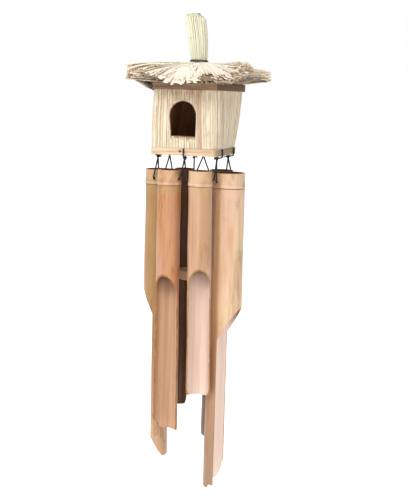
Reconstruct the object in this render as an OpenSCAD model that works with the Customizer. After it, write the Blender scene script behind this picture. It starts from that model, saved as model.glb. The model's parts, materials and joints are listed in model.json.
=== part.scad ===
// Birdhouse wind chime: a small reed house under a straw roof, with six bamboo
// tubes and a wooden clapper hanging below it on cord.
// The origin is the centre of the hanging eye, +Z is up and the doorway faces -Y.

/* [Hanging cord and straw bundle] */
// Inside radius of the hanging eye
eye_r = 3; // [2.5:0.5:4]
// Radius of every cord
cord_r = 0.9; // [0.6:0.1:1.1]
// Radius of the straw bundle where it is tied
neck_r = 10.2; // [9:0.1:12]
// Radius of the straw bundle at its cut top
tuft_r = 13.2; // [12:0.1:15]
// Height of the tie below the eye
tie_drop = 54.7; // [50:0.1:65]
// Sideways lean of the bundle, at its top and at its neck
tuft_lean = [-3.3, 2.75]; // [-5:0.05:5]

/* [Roof] */
// Half width of the square straw roof
roof_half = 71; // [66:0.5:80]
// Drop of the middle of each eave below the peak
eave_drop = 22; // [18:0.5:26]
// Drop of each corner below the peak
corner_drop = 11; // [8:0.5:16]
// Straw thickness at the middle of an eave, and the extra at a corner
eave_t = [8, 7]; // [3:0.5:10]

/* [House] */
// Side of the top board
top_side = 90; // [86:0.5:92]
// Side of the base board
base_side = 89; // [86:0.5:92]
// Thickness of both boards
board_t = 9.4; // [8:0.1:11]
// Corner radius of the base board
base_corner = 5; // [3:0.5:8]
// Height of the walls between the boards
wall_h = 71.8; // [65:0.1:80]
// Thickness of the reed walls
wall_t = 4; // [3:0.5:5]
// Turn of the top board against the base board
top_twist = -8; // [-10:1:0]
// Sideways shift of the roof and the top board
top_shift = 4.6; // [0:0.1:6]
// Height of the roof's peak above the top board
peak_h = 26; // [24:0.5:30]
// Width of the arched doorway
door_w = 34; // [28:1:40]
// Height of the arched doorway
door_h = 43; // [36:1:48]
// Height of the door sill above the base board
sill_h = 15; // [12:1:18]

/* [Tubes] */
// Thickness of the bamboo's wall
tube_wall = 2.5; // [2:0.5:3.5]
// Depth of the cord holes below a tube's rim
hole_drop = 11.5; // [10:0.5:12]
// Depth of the bamboo's node below a tube's rim
node_drop = 17.5; // [17:0.5:20]
// Angle of the long slanting cut, from the horizontal
scoop_angle = 60; // [55:1:66]

/* [Clapper] */
// Radius of the clapper disc
clapper_r = 17; // [14:0.5:17]
// Thickness of the clapper disc
clapper_t = 12; // [10:0.5:14]
// Depth of the clapper's top below the base board
clapper_drop = 153; // [140:1:160]

/* [Hidden] */

$fn = 48;
hull_fn = 32;
gap = 0.25;
eps = 0.5;
cord_clear = 0.6;
corner_bulge = 0.12;
lean_angle = 17;
lean_dir = [cos(lean_angle), sin(lean_angle)];

straw = "#f0e6c4";
bamboo = "#cf9c6e";
bamboo_dark = "#a8794e";
board_wood = "#dcb98c";
cord_black = "#1c1a18";
reed = "#e6dcb6";
clapper_wood = "#c9a982";

// Levels, measured down from the eye.
tie_to_peak = 1.3;
peak_z = -tie_drop - tie_to_peak;
top_board_z = peak_z - peak_h;
wall_top_z = top_board_z - board_t;
wall_low_z = wall_top_z - wall_h;
under_z = wall_low_z - board_t;

// The straw bundle.
touch_gap = 0.1;
tuft_top_z = -eye_r - 2 * cord_r - touch_gap;
tuft_mid_z = -30;
tuft_mid_lean = 0.4;
tuft_mid_r = 13.1;
slab = 4;
tie_r = 1.2;
channel_r = cord_r + cord_clear;

// The roof is a set of square rings of points.
ring_steps = 10;
side_steps = 8;
ring_count = 4 * side_steps;
board_ring = (top_side / 2 + 0.6) / roof_half;
roof_power = 1.6;

// Board edges and the ties around them.
wall_inset = 1;
mitre_gap = 0.3;
tie_hole_in = 8;
tie_edge_out = cord_r + touch_gap;
groove_w = 2 * cord_r + cord_clear;
groove_d = 2 * cord_r + 0.5;
knot_r = 2.2;
knot_drop = 3.3;
knot_z = under_z - knot_drop;
tail_len = 7;
tail_side = 2.3;
tail_rise = 1;
strand_start = 6.8;
bend_out = 1.3;

// A tie is [place on the board, outward direction of the edge it wraps].
TIES = [
  [[0, -40], [0, -1]],
  [[38.5, -27], [1, 0]],
  [[38.5, 26], [1, 0]],
  [[0, 40], [0, 1]],
  [[-41, 20], [-1, 0]],
  [[-41, -25], [-1, 0]]
];

// A tube hangs between one tie and the next. Its values are [offset outward from the
// line between the ties, slide along it, radius at rim, radius at tip, drop of the rim
// below the base board, start of the scoop below the rim, length].
TUBES = [
  [6.2, 0.2, 15, 15.8, 18.0, 121, 298],
  [8.6, 0.5, 21.3, 23.2, 21.7, 173, 431],
  [11.5, -2.3, 16, 17.6, 22.5, 150, 373],
  [11, 1.3, 12.6, 13.4, 22.5, 140, 331],
  [7.6, -2.5, 17.2, 18, 21.8, 157, 399],
  [5.3, 2.3, 15.1, 16.6, 18.4, 131, 351]
];
// How each tube is cut and hangs: [turn of its scoop about the tube, distance of the
// straight cut outward from the axis, flat part of its end, slope of the rest of its
// end, outward tilt of the whole tube, distance of its holes inward from the axis].
CUTS = [
  [0, 1.5, 4, 0.75, 0, 0],
  [-3, -3.6, 4.5, 1.25, 0.35, 10],
  [0, 1.5, 3, 1.2, 0, 0],
  [0, 1.5, 3, 1.2, 0, 0],
  [0, -0.7, 3, 1.5, -0.25, 0],
  [19, 1.0, 5, 1.1, 0, 0]
];
node_t = 4;
node_bulge = 0.9;
cut_width = 60;

function unit(v) = v / norm(v);
function lean(d) = lean_dir * d;
function tube(i) = TUBES[i];
function cuts(i) = CUTS[i];
function tie_at(i) = TIES[i % len(TIES)][0];
function run_dir(i) = unit(tie_at(i + 1) - tie_at(i));
function out_dir(i) = [run_dir(i)[1], -run_dir(i)[0]];
function tube_xy(i) =
  (tie_at(i) + tie_at(i + 1)) / 2 + out_dir(i) * tube(i)[0] + run_dir(i) * tube(i)[1];
function rim_z(i) = under_z - tube(i)[4];
function hole_z(i) = rim_z(i) - hole_drop;
function hole_xy(i) = tube_xy(i) - out_dir(i) * cuts(i)[5];
function half_span(i) =
  sqrt(pow(tube(i)[2] + node_bulge, 2) - pow(cuts(i)[5], 2)) + bend_out;
function bend_at(i, way) =
  let(p = hole_xy(i) + run_dir(i) * way * half_span(i))
  [p[0], p[1], hole_z(i)];
function knot_at(i) = [tie_at(i)[0], tie_at(i)[1], knot_z];

// A straight piece of cord between two points.
module strand(a, b) {
  d = b - a;
  turn = norm([d[0], d[1]]) > 0 ? atan2(d[1], d[0]) : 0;
  translate(a)
    rotate([0, acos(d[2] / norm(d)), turn])
      cylinder(h = norm(d), r = cord_r);
}

module cord_corner(p) {
  translate(p) sphere(r = cord_r + corner_bulge);
}

module cord_hole(top, depth) {
  translate([0, 0, top - depth]) cylinder(h = depth, r = channel_r);
}

// The eye has a flat inner wall, and its stem runs down through the roof to a stop
// knot inside the house.
module hanging_cord() {
  stem_low = wall_top_z - knot_r - gap;
  color(cord_black) {
    rotate([90, 0, 0])
      rotate_extrude() {
        translate([eye_r, -cord_r / 2]) square([cord_r, cord_r]);
        intersection() {
          translate([eye_r + cord_r, 0]) circle(r = cord_r);
          translate([eye_r, -cord_r]) square(2 * cord_r);
        }
      }
    strand([0, 0, stem_low], [0, 0, -eye_r - cord_r]);
    translate([0, 0, stem_low]) sphere(r = knot_r);
  }
}

// The tied bundle of straw leans, and spreads a little towards its cut top.
module topknot() {
  color(straw)
    difference() {
      union() {
        bundle_slab(peak_z, slab, neck_r, tuft_lean[1]);
        hull() {
          bundle_slab(peak_z + slab - eps, eps, neck_r, tuft_lean[1]);
          bundle_slab(tuft_mid_z, slab, tuft_mid_r, tuft_mid_lean);
        }
        hull() {
          bundle_slab(tuft_mid_z, slab, tuft_mid_r, tuft_mid_lean);
          bundle_slab(tuft_top_z - slab, slab, tuft_r, tuft_lean[0]);
        }
      }
      cord_hole(eps, -peak_z + 2 * eps);
    }
}

module bundle_slab(z, h, r, side) {
  translate([lean(side)[0], lean(side)[1], z]) cylinder(h = h, r = r, $fn = hull_fn);
}

module topknot_tie() {
  color(cord_black)
    translate([lean(tuft_lean[1])[0], lean(tuft_lean[1])[1], -tie_drop])
      rotate_extrude()
        translate([neck_r + tie_r + gap / 2, 0]) circle(r = tie_r);
}

// Roof points: s runs from 0 at the peak to 1 at the eaves, and q counts round a ring.
function along(q) = 2 * (q % side_steps) / side_steps - 1;
function ring_xy(s, q) =
  let(a = along(q), turn = 90 * floor(q / side_steps), r = roof_half * s)
  [r * (a * cos(turn) + sin(turn)), r * (a * sin(turn) - cos(turn))];
function corner_part(q) = pow(along(q), 2);
function roof_top(s, q) =
  peak_z - pow(s, roof_power) * (eave_drop + (corner_drop - eave_drop) * corner_part(q));
function eave_low(q) = roof_top(1, q) - eave_t[0] - eave_t[1] * corner_part(q);
function roof_low(s, q) =
  top_board_z + (eave_low(q) - top_board_z) * max(0, (s - board_ring) / (1 - board_ring));

module roof_thatch() {
  low_rings = [1, (1 + board_ring) / 2, board_ring];
  tops = [for (k = [1:ring_steps], q = [0:ring_count - 1])
    [ring_xy(k / ring_steps, q)[0], ring_xy(k / ring_steps, q)[1],
     roof_top(k / ring_steps, q)]];
  lows = [for (s = low_rings, q = [0:ring_count - 1])
    [ring_xy(s, q)[0], ring_xy(s, q)[1], roof_low(s, q)]];
  rings = ring_steps + len(low_rings);
  points = concat([[0, 0, peak_z]], tops, lows, [[0, 0, top_board_z]]);
  last = len(points) - 1;
  caps = [for (q = [0:ring_count - 1]) let(n = (q + 1) % ring_count)
    [0, 1 + n, 1 + q]];
  floors = [for (q = [0:ring_count - 1]) let(n = (q + 1) % ring_count, a = last - ring_count)
    [last, a + q, a + n]];
  bands = [for (k = [0:rings - 2], q = [0:ring_count - 1])
    let(a = 1 + k * ring_count, b = a + ring_count, n = (q + 1) % ring_count)
    each [[a + q, a + n, b + n], [a + q, b + n, b + q]]];
  color(straw)
    difference() {
      translate([lean(top_shift)[0], lean(top_shift)[1], 0])
        rotate(top_twist)
          polyhedron(points = points, faces = concat(caps, floors, bands));
      cord_hole(0, -top_board_z + eps);
    }
}

module top_board() {
  color(board_wood)
    difference() {
      translate([lean(top_shift)[0], lean(top_shift)[1], wall_top_z])
        rotate(top_twist)
          translate([-top_side / 2, -top_side / 2, 0])
            cube([top_side, top_side, board_t]);
      cord_hole(top_board_z + eps, board_t + 2 * eps);
    }
}

// A wall stands between the boards, mitred at its ends, and follows their twist.
function wall_corner(side, half, x, y, z, turn, shift) =
  let(a = 90 * side + turn, u = x * (half - y) - x * mitre_gap, v = -(half - y))
  [u * cos(a) - v * sin(a) + lean(shift)[0], u * sin(a) + v * cos(a) + lean(shift)[1], z];

module wall(side) {
  low_half = base_side / 2 - wall_inset;
  high_half = top_side / 2 - wall_inset;
  plan = [[-1, 0], [1, 0], [1, wall_t], [-1, wall_t]];
  lows = [for (p = plan) wall_corner(side, low_half, p[0], p[1], wall_low_z, 0, 0)];
  highs = [for (p = plan)
    wall_corner(side, high_half, p[0], p[1], wall_top_z, top_twist, top_shift)];
  sides = [for (k = [0:3]) let(n = (k + 1) % 4) each [[k, 4 + k, 4 + n], [k, 4 + n, n]]];
  polyhedron(points = concat(lows, highs),
    faces = concat([[0, 1, 2], [0, 2, 3], [4, 6, 5], [4, 7, 6]], sides));
}

module front_wall() {
  door_x = -2.3;
  color(reed)
    difference() {
      wall(0);
      translate([door_x, 0, wall_low_z + sill_h])
        rotate([90, 0, 0])
          linear_extrude(height = base_side) {
            translate([-door_w / 2, 0]) square([door_w, door_h - door_w / 2]);
            translate([0, door_h - door_w / 2]) circle(r = door_w / 2);
          }
    }
}

module right_wall() {
  color(reed) wall(1);
}

module back_wall() {
  color(reed) wall(2);
}

module left_wall() {
  color(reed) wall(3);
}

// The base board has six holes near its edges, each with a groove out to the edge.
module base_board() {
  inner = base_side - 2 * base_corner;
  color(board_wood)
    difference() {
      translate([0, 0, under_z]) {
        translate([-base_side / 2, -inner / 2, 0]) cube([base_side, inner, board_t]);
        translate([-inner / 2, -base_side / 2, 0]) cube([inner, base_side, board_t]);
        for (x = [-1, 1], y = [-1, 1])
          translate([x * inner / 2, y * inner / 2, 0])
            cylinder(h = board_t, r = base_corner);
      }
      cord_hole(wall_low_z + eps, board_t + 2 * eps);
      for (i = [0:len(TIES) - 1])
        at_edge(i) {
          cord_hole(wall_low_z + eps, board_t + 2 * eps);
          translate([0, -groove_w / 2, wall_low_z - groove_d])
            cube([base_side, groove_w, base_side]);
        }
    }
}

// Places its children at a tie's hole, with +X out over the edge that the tie wraps.
module at_edge(i) {
  e = TIES[i][1];
  along_edge = e[0] == 0 ? [tie_at(i)[0], 0] : [0, tie_at(i)[1]];
  p = along_edge + e * (base_side / 2 - tie_hole_in);
  translate([p[0], p[1], 0]) rotate(atan2(e[1], e[0])) children();
}

// One loop of cord round the board's edge, with its knot and tails below.
module edge_tie(i) {
  e = TIES[i][1];
  reach = tie_at(i) * e - (base_side / 2 - tie_hole_in);
  edge = tie_hole_in + tie_edge_out;
  high = wall_low_z - cord_r - gap;
  low = under_z - cord_r - gap;
  path = [[0, 0, low], [0, 0, high], [edge, 0, high], [edge, 0, low]];
  at_edge(i) {
    for (k = [0:len(path) - 1]) {
      strand(path[k], path[(k + 1) % len(path)]);
      cord_corner(path[k]);
    }
    strand([0, 0, low], [reach, 0, knot_z]);
    strand([edge, 0, low], [reach, 0, knot_z]);
    translate([reach, 0, knot_z]) sphere(r = knot_r);
    for (way = [-1, 1])
      strand([reach, 0, knot_z],
        [reach - tail_len, way * tail_side, knot_z + tail_rise]);
  }
}

module edge_ties() {
  color(cord_black)
    for (i = [0:len(TIES) - 1]) edge_tie(i);
}

// Bamboo closed by its node near the rim, and scooped away on its outer side below.
module bamboo_tube(i) {
  out_turn = atan2(out_dir(i)[1], out_dir(i)[0]);
  color(i % 2 == 0 ? bamboo : bamboo_dark)
    translate([hole_xy(i)[0], hole_xy(i)[1], hole_z(i)])
      rotate([0, 0, out_turn])
        rotate([0, -cuts(i)[4], 0])
          translate([cuts(i)[5], 0, hole_drop])
            difference() {
              tube_skin(i);
              tube_bore(i);
              translate([-cuts(i)[5], 0, -hole_drop])
                rotate([90, 0, 0]) cylinder(h = cut_width, r = channel_r, center = true);
              rotate([0, 0, cuts(i)[0]]) tube_scoop(i);
            }
}

module tube_skin(i) {
  r_top = tube(i)[2];
  half_node = node_t / 2;
  translate([0, 0, -tube(i)[6]]) cylinder(h = tube(i)[6], r1 = tube(i)[3], r2 = r_top);
  translate([0, 0, -node_drop - half_node])
    cylinder(h = half_node, r1 = r_top, r2 = r_top + node_bulge);
  translate([0, 0, -node_drop])
    cylinder(h = half_node, r1 = r_top + node_bulge, r2 = r_top);
}

module tube_bore(i) {
  r_top = tube(i)[2] - tube_wall;
  r_low = tube(i)[3] - tube_wall;
  depth = tube(i)[6] + eps;
  translate([0, 0, -node_drop + node_t / 2]) cylinder(h = node_drop, r = r_top);
  translate([0, 0, -depth]) cylinder(h = depth - node_drop, r1 = r_low, r2 = r_top);
}

// The slanting and straight cuts of the scoop, and the slanting end.
module tube_scoop(i) {
  r_low = tube(i)[3];
  scoop = tube(i)[5];
  length = tube(i)[6];
  cut_x = cuts(i)[1];
  cut_z = -scoop - (r_low - cut_x) * tan(scoop_angle);
  flat_x = -r_low + cuts(i)[2];
  far = 2 * r_low;
  rotate([90, 0, 0])
    translate([0, 0, -cut_width / 2])
      linear_extrude(height = cut_width) {
        polygon([
          [far, -scoop + (far - r_low) * tan(scoop_angle)],
          [cut_x, cut_z],
          [cut_x, -length - far],
          [far, -length - far]
        ]);
        polygon([
          [-far, -length],
          [flat_x, -length],
          [far, -length + (far - flat_x) * cuts(i)[3]],
          [far, -2 * length],
          [-far, -2 * length]
        ]);
      }
}

module tube_front_right() {
  bamboo_tube(0);
}

module tube_right() {
  bamboo_tube(1);
}

module tube_back_right() {
  bamboo_tube(2);
}

module tube_back_left() {
  bamboo_tube(3);
}

module tube_left() {
  bamboo_tube(4);
}

module tube_front_left() {
  bamboo_tube(5);
}

// One cord goes down from a tie, straight through its tube and up to the next tie.
module tube_cord(i) {
  a = knot_at(i);
  b = knot_at(i + 1);
  low_a = bend_at(i, -1);
  low_b = bend_at(i, 1);
  color(cord_black) {
    strand(a + unit(low_a - a) * strand_start, low_a);
    strand(low_a, low_b);
    strand(b + unit(low_b - b) * strand_start, low_b);
    cord_corner(low_a);
    cord_corner(low_b);
  }
}

module cord_front_right() {
  tube_cord(0);
}

module cord_right() {
  tube_cord(1);
}

module cord_back_right() {
  tube_cord(2);
}

module cord_back_left() {
  tube_cord(3);
}

module cord_left() {
  tube_cord(4);
}

module cord_front_left() {
  tube_cord(5);
}

// The clapper's cord is held by a knot on the floor of the house.
anchor_low_z = knot_z + knot_r + gap;
clapper_z = under_z - clapper_drop;
stop_z = clapper_z - clapper_t - knot_r - touch_gap;

module clapper_anchor() {
  color(cord_black) {
    translate([0, 0, wall_low_z + knot_r]) sphere(r = knot_r);
    strand([0, 0, anchor_low_z], [0, 0, wall_low_z + knot_r]);
  }
}

module clapper_knot() {
  color(cord_black) translate([0, 0, knot_z]) sphere(r = knot_r);
}

module clapper_cord() {
  color(cord_black) {
    strand([0, 0, stop_z], [0, 0, knot_z - knot_r - gap]);
    translate([0, 0, stop_z]) sphere(r = knot_r);
  }
}

module clapper() {
  color(clapper_wood)
    translate([0, 0, clapper_z - clapper_t])
      difference() {
        cylinder(h = clapper_t, r = clapper_r);
        translate([0, 0, -eps]) cylinder(h = clapper_t + 2 * eps, r = cord_r + 0.5);
      }
}

hanging_cord();
topknot();
topknot_tie();
roof_thatch();
top_board();
front_wall();
right_wall();
back_wall();
left_wall();
base_board();
edge_ties();
clapper_anchor();
clapper_knot();
clapper_cord();
clapper();
tube_front_right();
tube_right();
tube_back_right();
tube_back_left();
tube_left();
tube_front_left();
cord_front_right();
cord_right();
cord_back_right();
cord_back_left();
cord_left();
cord_front_left();
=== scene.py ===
"""The looks of the birdhouse wind chime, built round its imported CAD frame. Metres, +Z up."""
import json
import math
import bmesh
import bpy
import numpy as np
from mathutils import Matrix, Vector


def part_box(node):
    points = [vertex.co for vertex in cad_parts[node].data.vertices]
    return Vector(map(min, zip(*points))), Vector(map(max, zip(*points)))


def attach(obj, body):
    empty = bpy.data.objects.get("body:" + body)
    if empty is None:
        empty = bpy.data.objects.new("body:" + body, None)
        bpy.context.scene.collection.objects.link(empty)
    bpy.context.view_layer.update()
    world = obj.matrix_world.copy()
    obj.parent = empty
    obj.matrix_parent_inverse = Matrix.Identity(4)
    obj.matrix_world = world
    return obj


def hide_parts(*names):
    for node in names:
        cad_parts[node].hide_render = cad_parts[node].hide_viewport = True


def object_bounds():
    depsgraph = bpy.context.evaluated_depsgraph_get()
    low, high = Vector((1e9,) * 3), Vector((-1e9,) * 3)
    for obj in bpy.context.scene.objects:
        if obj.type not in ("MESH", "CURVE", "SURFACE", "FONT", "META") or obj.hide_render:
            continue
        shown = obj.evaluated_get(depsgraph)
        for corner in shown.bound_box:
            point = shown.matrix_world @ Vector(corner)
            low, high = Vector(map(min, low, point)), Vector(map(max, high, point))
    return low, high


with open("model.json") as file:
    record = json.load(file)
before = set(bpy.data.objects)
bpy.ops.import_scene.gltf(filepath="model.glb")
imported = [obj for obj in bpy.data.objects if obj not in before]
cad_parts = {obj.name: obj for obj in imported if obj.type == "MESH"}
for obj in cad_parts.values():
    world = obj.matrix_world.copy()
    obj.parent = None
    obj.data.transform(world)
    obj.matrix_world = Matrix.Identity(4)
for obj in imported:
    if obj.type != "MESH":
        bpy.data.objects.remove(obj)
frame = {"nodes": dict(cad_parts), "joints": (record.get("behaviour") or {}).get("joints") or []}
cad_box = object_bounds()

MM = 0.001
TAU = 2 * math.pi
SEED = 741
UP = np.array([0.0, 0.0, 1.0])

joints = {j["name"]: j for j in frame["joints"]}
SIDES = ["front_right", "right", "back_right", "back_left", "left", "front_left"]
# The corners of a square seen from above: front left, then anticlockwise.
AROUND = [(-1, -1), (1, -1), (1, 1), (-1, 1)]


# ---------------------------------------------------------------- small helpers

def unit(v):
    v = np.asarray(v, float)
    return v / np.maximum(np.linalg.norm(v, axis=-1, keepdims=True), 1e-12)


def smoothstep(x, low, high):
    t = np.clip((np.asarray(x, float) - low) / (high - low), 0, 1)
    return t * t * (3 - 2 * t)


def srgb(r, g, b):
    """A display colour, 0 to 255, as the linear colour that a shader takes."""
    def linear(c):
        c = c / 255
        return c / 12.92 if c <= 0.04045 else ((c + 0.055) / 1.055) ** 2.4
    return (linear(r), linear(g), linear(b), 1.0)


def node_points(name):
    """All the corners of a CAD node's mesh, as an array."""
    mesh = frame["nodes"][name].data
    co = np.empty(len(mesh.vertices) * 3)
    mesh.vertices.foreach_get("co", co)
    return co.reshape(-1, 3)


def box_of(name):
    """The low and high corners of a CAD node's box, as arrays."""
    return [np.array(v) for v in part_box(name)]


def square_corners(name):
    """The corners of a nearly square node, in the order of AROUND."""
    xy = node_points(name)[:, :2]
    return np.array([xy[np.argmax(xy @ np.array(s))] for s in AROUND])


def wavy(x, rng, count=5, low=1.0, high=6.0):
    """A smooth random curve over x (0 to 1), about -1 to 1."""
    total = np.zeros_like(np.asarray(x, float))
    for _ in range(count):
        total += rng.uniform(0.3, 1) * np.sin(TAU * (rng.uniform(low, high) * x + rng.uniform()))
    return total / count


# ---------------------------------------------------------------- building meshes

class Soup:
    """Collects closed skins into one mesh. Each point carries a colour named strand:
    seed, place along the strand, depth in the heap as painted shade, and place across the strand."""

    def __init__(self):
        self.points, self.marks, self.faces, self.slots = [], [], [], []
        self.count = 0

    def add(self, points, faces, marks, slots=None):
        self.points.append(points.reshape(-1, 3))
        self.marks.append(np.broadcast_to(marks, points.shape[:-1] + (4,)).reshape(-1, 4))
        self.faces += [[i + self.count for i in f] for f in faces]
        self.slots += slots or [0] * len(faces)
        self.count += len(self.points[-1])

    def rings(self, rings, marks, looped=False):
        """Joins rings of points, an (n, k, 3) array, into a skin: capped at both ends, or
        with its last ring joined to the first."""
        n, k = rings.shape[:2]
        faces = []
        for i in range(n if looped else n - 1):
            a, b = i * k, ((i + 1) % n) * k
            faces += [[a + j, a + (j + 1) % k, b + (j + 1) % k, b + j] for j in range(k)]
        if not looped:
            faces.append(list(range(k - 1, -1, -1)))
            faces.append([(n - 1) * k + j for j in range(k)])
        self.add(rings, faces, marks)

    def build(self, name, materials, crease=35):
        mesh = bpy.data.meshes.new(name)
        points = np.concatenate(self.points)
        mesh.from_pydata(points.tolist(), [], self.faces)
        for m in materials:
            mesh.materials.append(m)
        mesh.polygons.foreach_set("material_index", self.slots)
        mesh.polygons.foreach_set("use_smooth", [True] * len(mesh.polygons))
        layer = mesh.color_attributes.new("strand", "FLOAT_COLOR", "POINT")
        layer.data.foreach_set("color", np.concatenate(self.marks).astype(np.float32).ravel())
        shell = bmesh.new()
        shell.from_mesh(mesh)
        bmesh.ops.recalc_face_normals(shell, faces=shell.faces)
        shell.to_mesh(mesh)
        shell.free()
        mesh.set_sharp_from_angle(angle=math.radians(crease))
        obj = bpy.data.objects.new(name, mesh)
        bpy.context.scene.collection.objects.link(obj)
        return obj


def hand_over(piece, node, body):
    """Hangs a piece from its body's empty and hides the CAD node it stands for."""
    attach(piece, body)
    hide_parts(node)


def cut(obj, *cutters):
    """Takes the cutters' solids away from a mesh, and removes them."""
    for cutter in cutters:
        mod = obj.modifiers.new("cut", "BOOLEAN")
        mod.operation, mod.solver, mod.object = "DIFFERENCE", "EXACT", cutter
    deps = bpy.context.evaluated_depsgraph_get()
    made = bpy.data.meshes.new_from_object(obj.evaluated_get(deps))
    obj.modifiers.clear()
    obj.data = made
    for cutter in cutters:
        bpy.data.objects.remove(cutter)


def spread(count):
    """Angles spread evenly round a turn."""
    return np.arange(count) / count * TAU


def strand_marks(shape, seed=0, along=0, shade_depth=0, across=0):
    """The strand colours for an array of points of this shape."""
    return np.stack([np.broadcast_to(v, shape) for v in (seed, along, shade_depth, across)], -1)


def hoops(a, side, normal):
    """Unit circles in the planes of the side and normal directions, at the angles a."""
    return np.cos(a)[None, :, None] * side[:, None] + np.sin(a)[None, :, None] * normal[:, None]


def rolling_frames(path):
    """The directions along a path, and side and normal ones that turn as little as they can."""
    tangent = unit(np.gradient(path, axis=0))
    start = UP if abs(tangent[0, 2]) < 0.8 else np.array([1.0, 0, 0])
    side = [unit(np.cross(start, tangent[0]))]
    for t in tangent[1:]:
        side.append(unit(side[-1] - t * (side[-1] @ t)))
    side = np.array(side)
    return tangent, side, np.cross(tangent, side)


def smooth_path(points, step):
    """A smooth curve through the points, sampled about every step."""
    p = np.asarray(points, float)
    p = np.vstack([2 * p[0] - p[1], p, 2 * p[-1] - p[-2]])
    out = []
    for i in range(1, len(p) - 2):
        n = max(2, int(np.linalg.norm(p[i + 1] - p[i]) / step))
        t = np.linspace(0, 1, n, endpoint=False)[:, None]
        a, b, c, d = p[i - 1], p[i], p[i + 1], p[i + 2]
        out.append(0.5 * (2 * b + (c - a) * t + (2 * a - 5 * b + 4 * c - d) * t ** 2
                          + (3 * b - a - 3 * c + d) * t ** 3))
    out.append(p[-2][None])
    return np.concatenate(out)


CORD_R = 1.0 * MM
LAY = 4.2 * MM
PLIES = 3
KNOT_FLAT = 0.85


def add_cord(soup, points, radius=CORD_R, seed=0.5):
    """A twisted cord of three plies along a smooth path, with rounded ends."""
    path = smooth_path(points, 0.55 * MM)
    _, side, normal = rolling_frames(path)
    run = np.concatenate([[0], np.cumsum(np.linalg.norm(np.diff(path, axis=0), axis=1))])
    a = spread(12)
    twist = PLIES / 2 * (a[None] - run[:, None] * TAU / LAY)
    r = radius * (0.90 + 0.13 * np.abs(np.cos(twist)))
    end = np.minimum(run, run[-1] - run) / radius
    r *= np.sqrt(np.clip(1 - (1 - np.clip(end, 0.02, 1)) ** 2, 0, 1))[:, None]
    rings = path[:, None] + r[..., None] * hoops(a, side, normal)
    soup.rings(rings, strand_marks(rings.shape[:2], seed, (run / run[-1])[:, None], 0, a / TAU))


def knot_path(centre, size, turn):
    """A trefoil, the path of an overhand knot pulled tight."""
    t = np.linspace(0, TAU * 0.97, 16)
    x = np.sin(t) + 2 * np.sin(2 * t)
    y = np.cos(t) - 2 * np.cos(2 * t)
    z = -np.sin(3 * t) * 1.1
    c, s = math.cos(turn), math.sin(turn)
    p = np.stack([x * c - z * s, y * KNOT_FLAT, x * s + z * c], 1)
    return np.asarray(centre) + p * size / 3


# ---------------------------------------------------------------- materials

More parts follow.
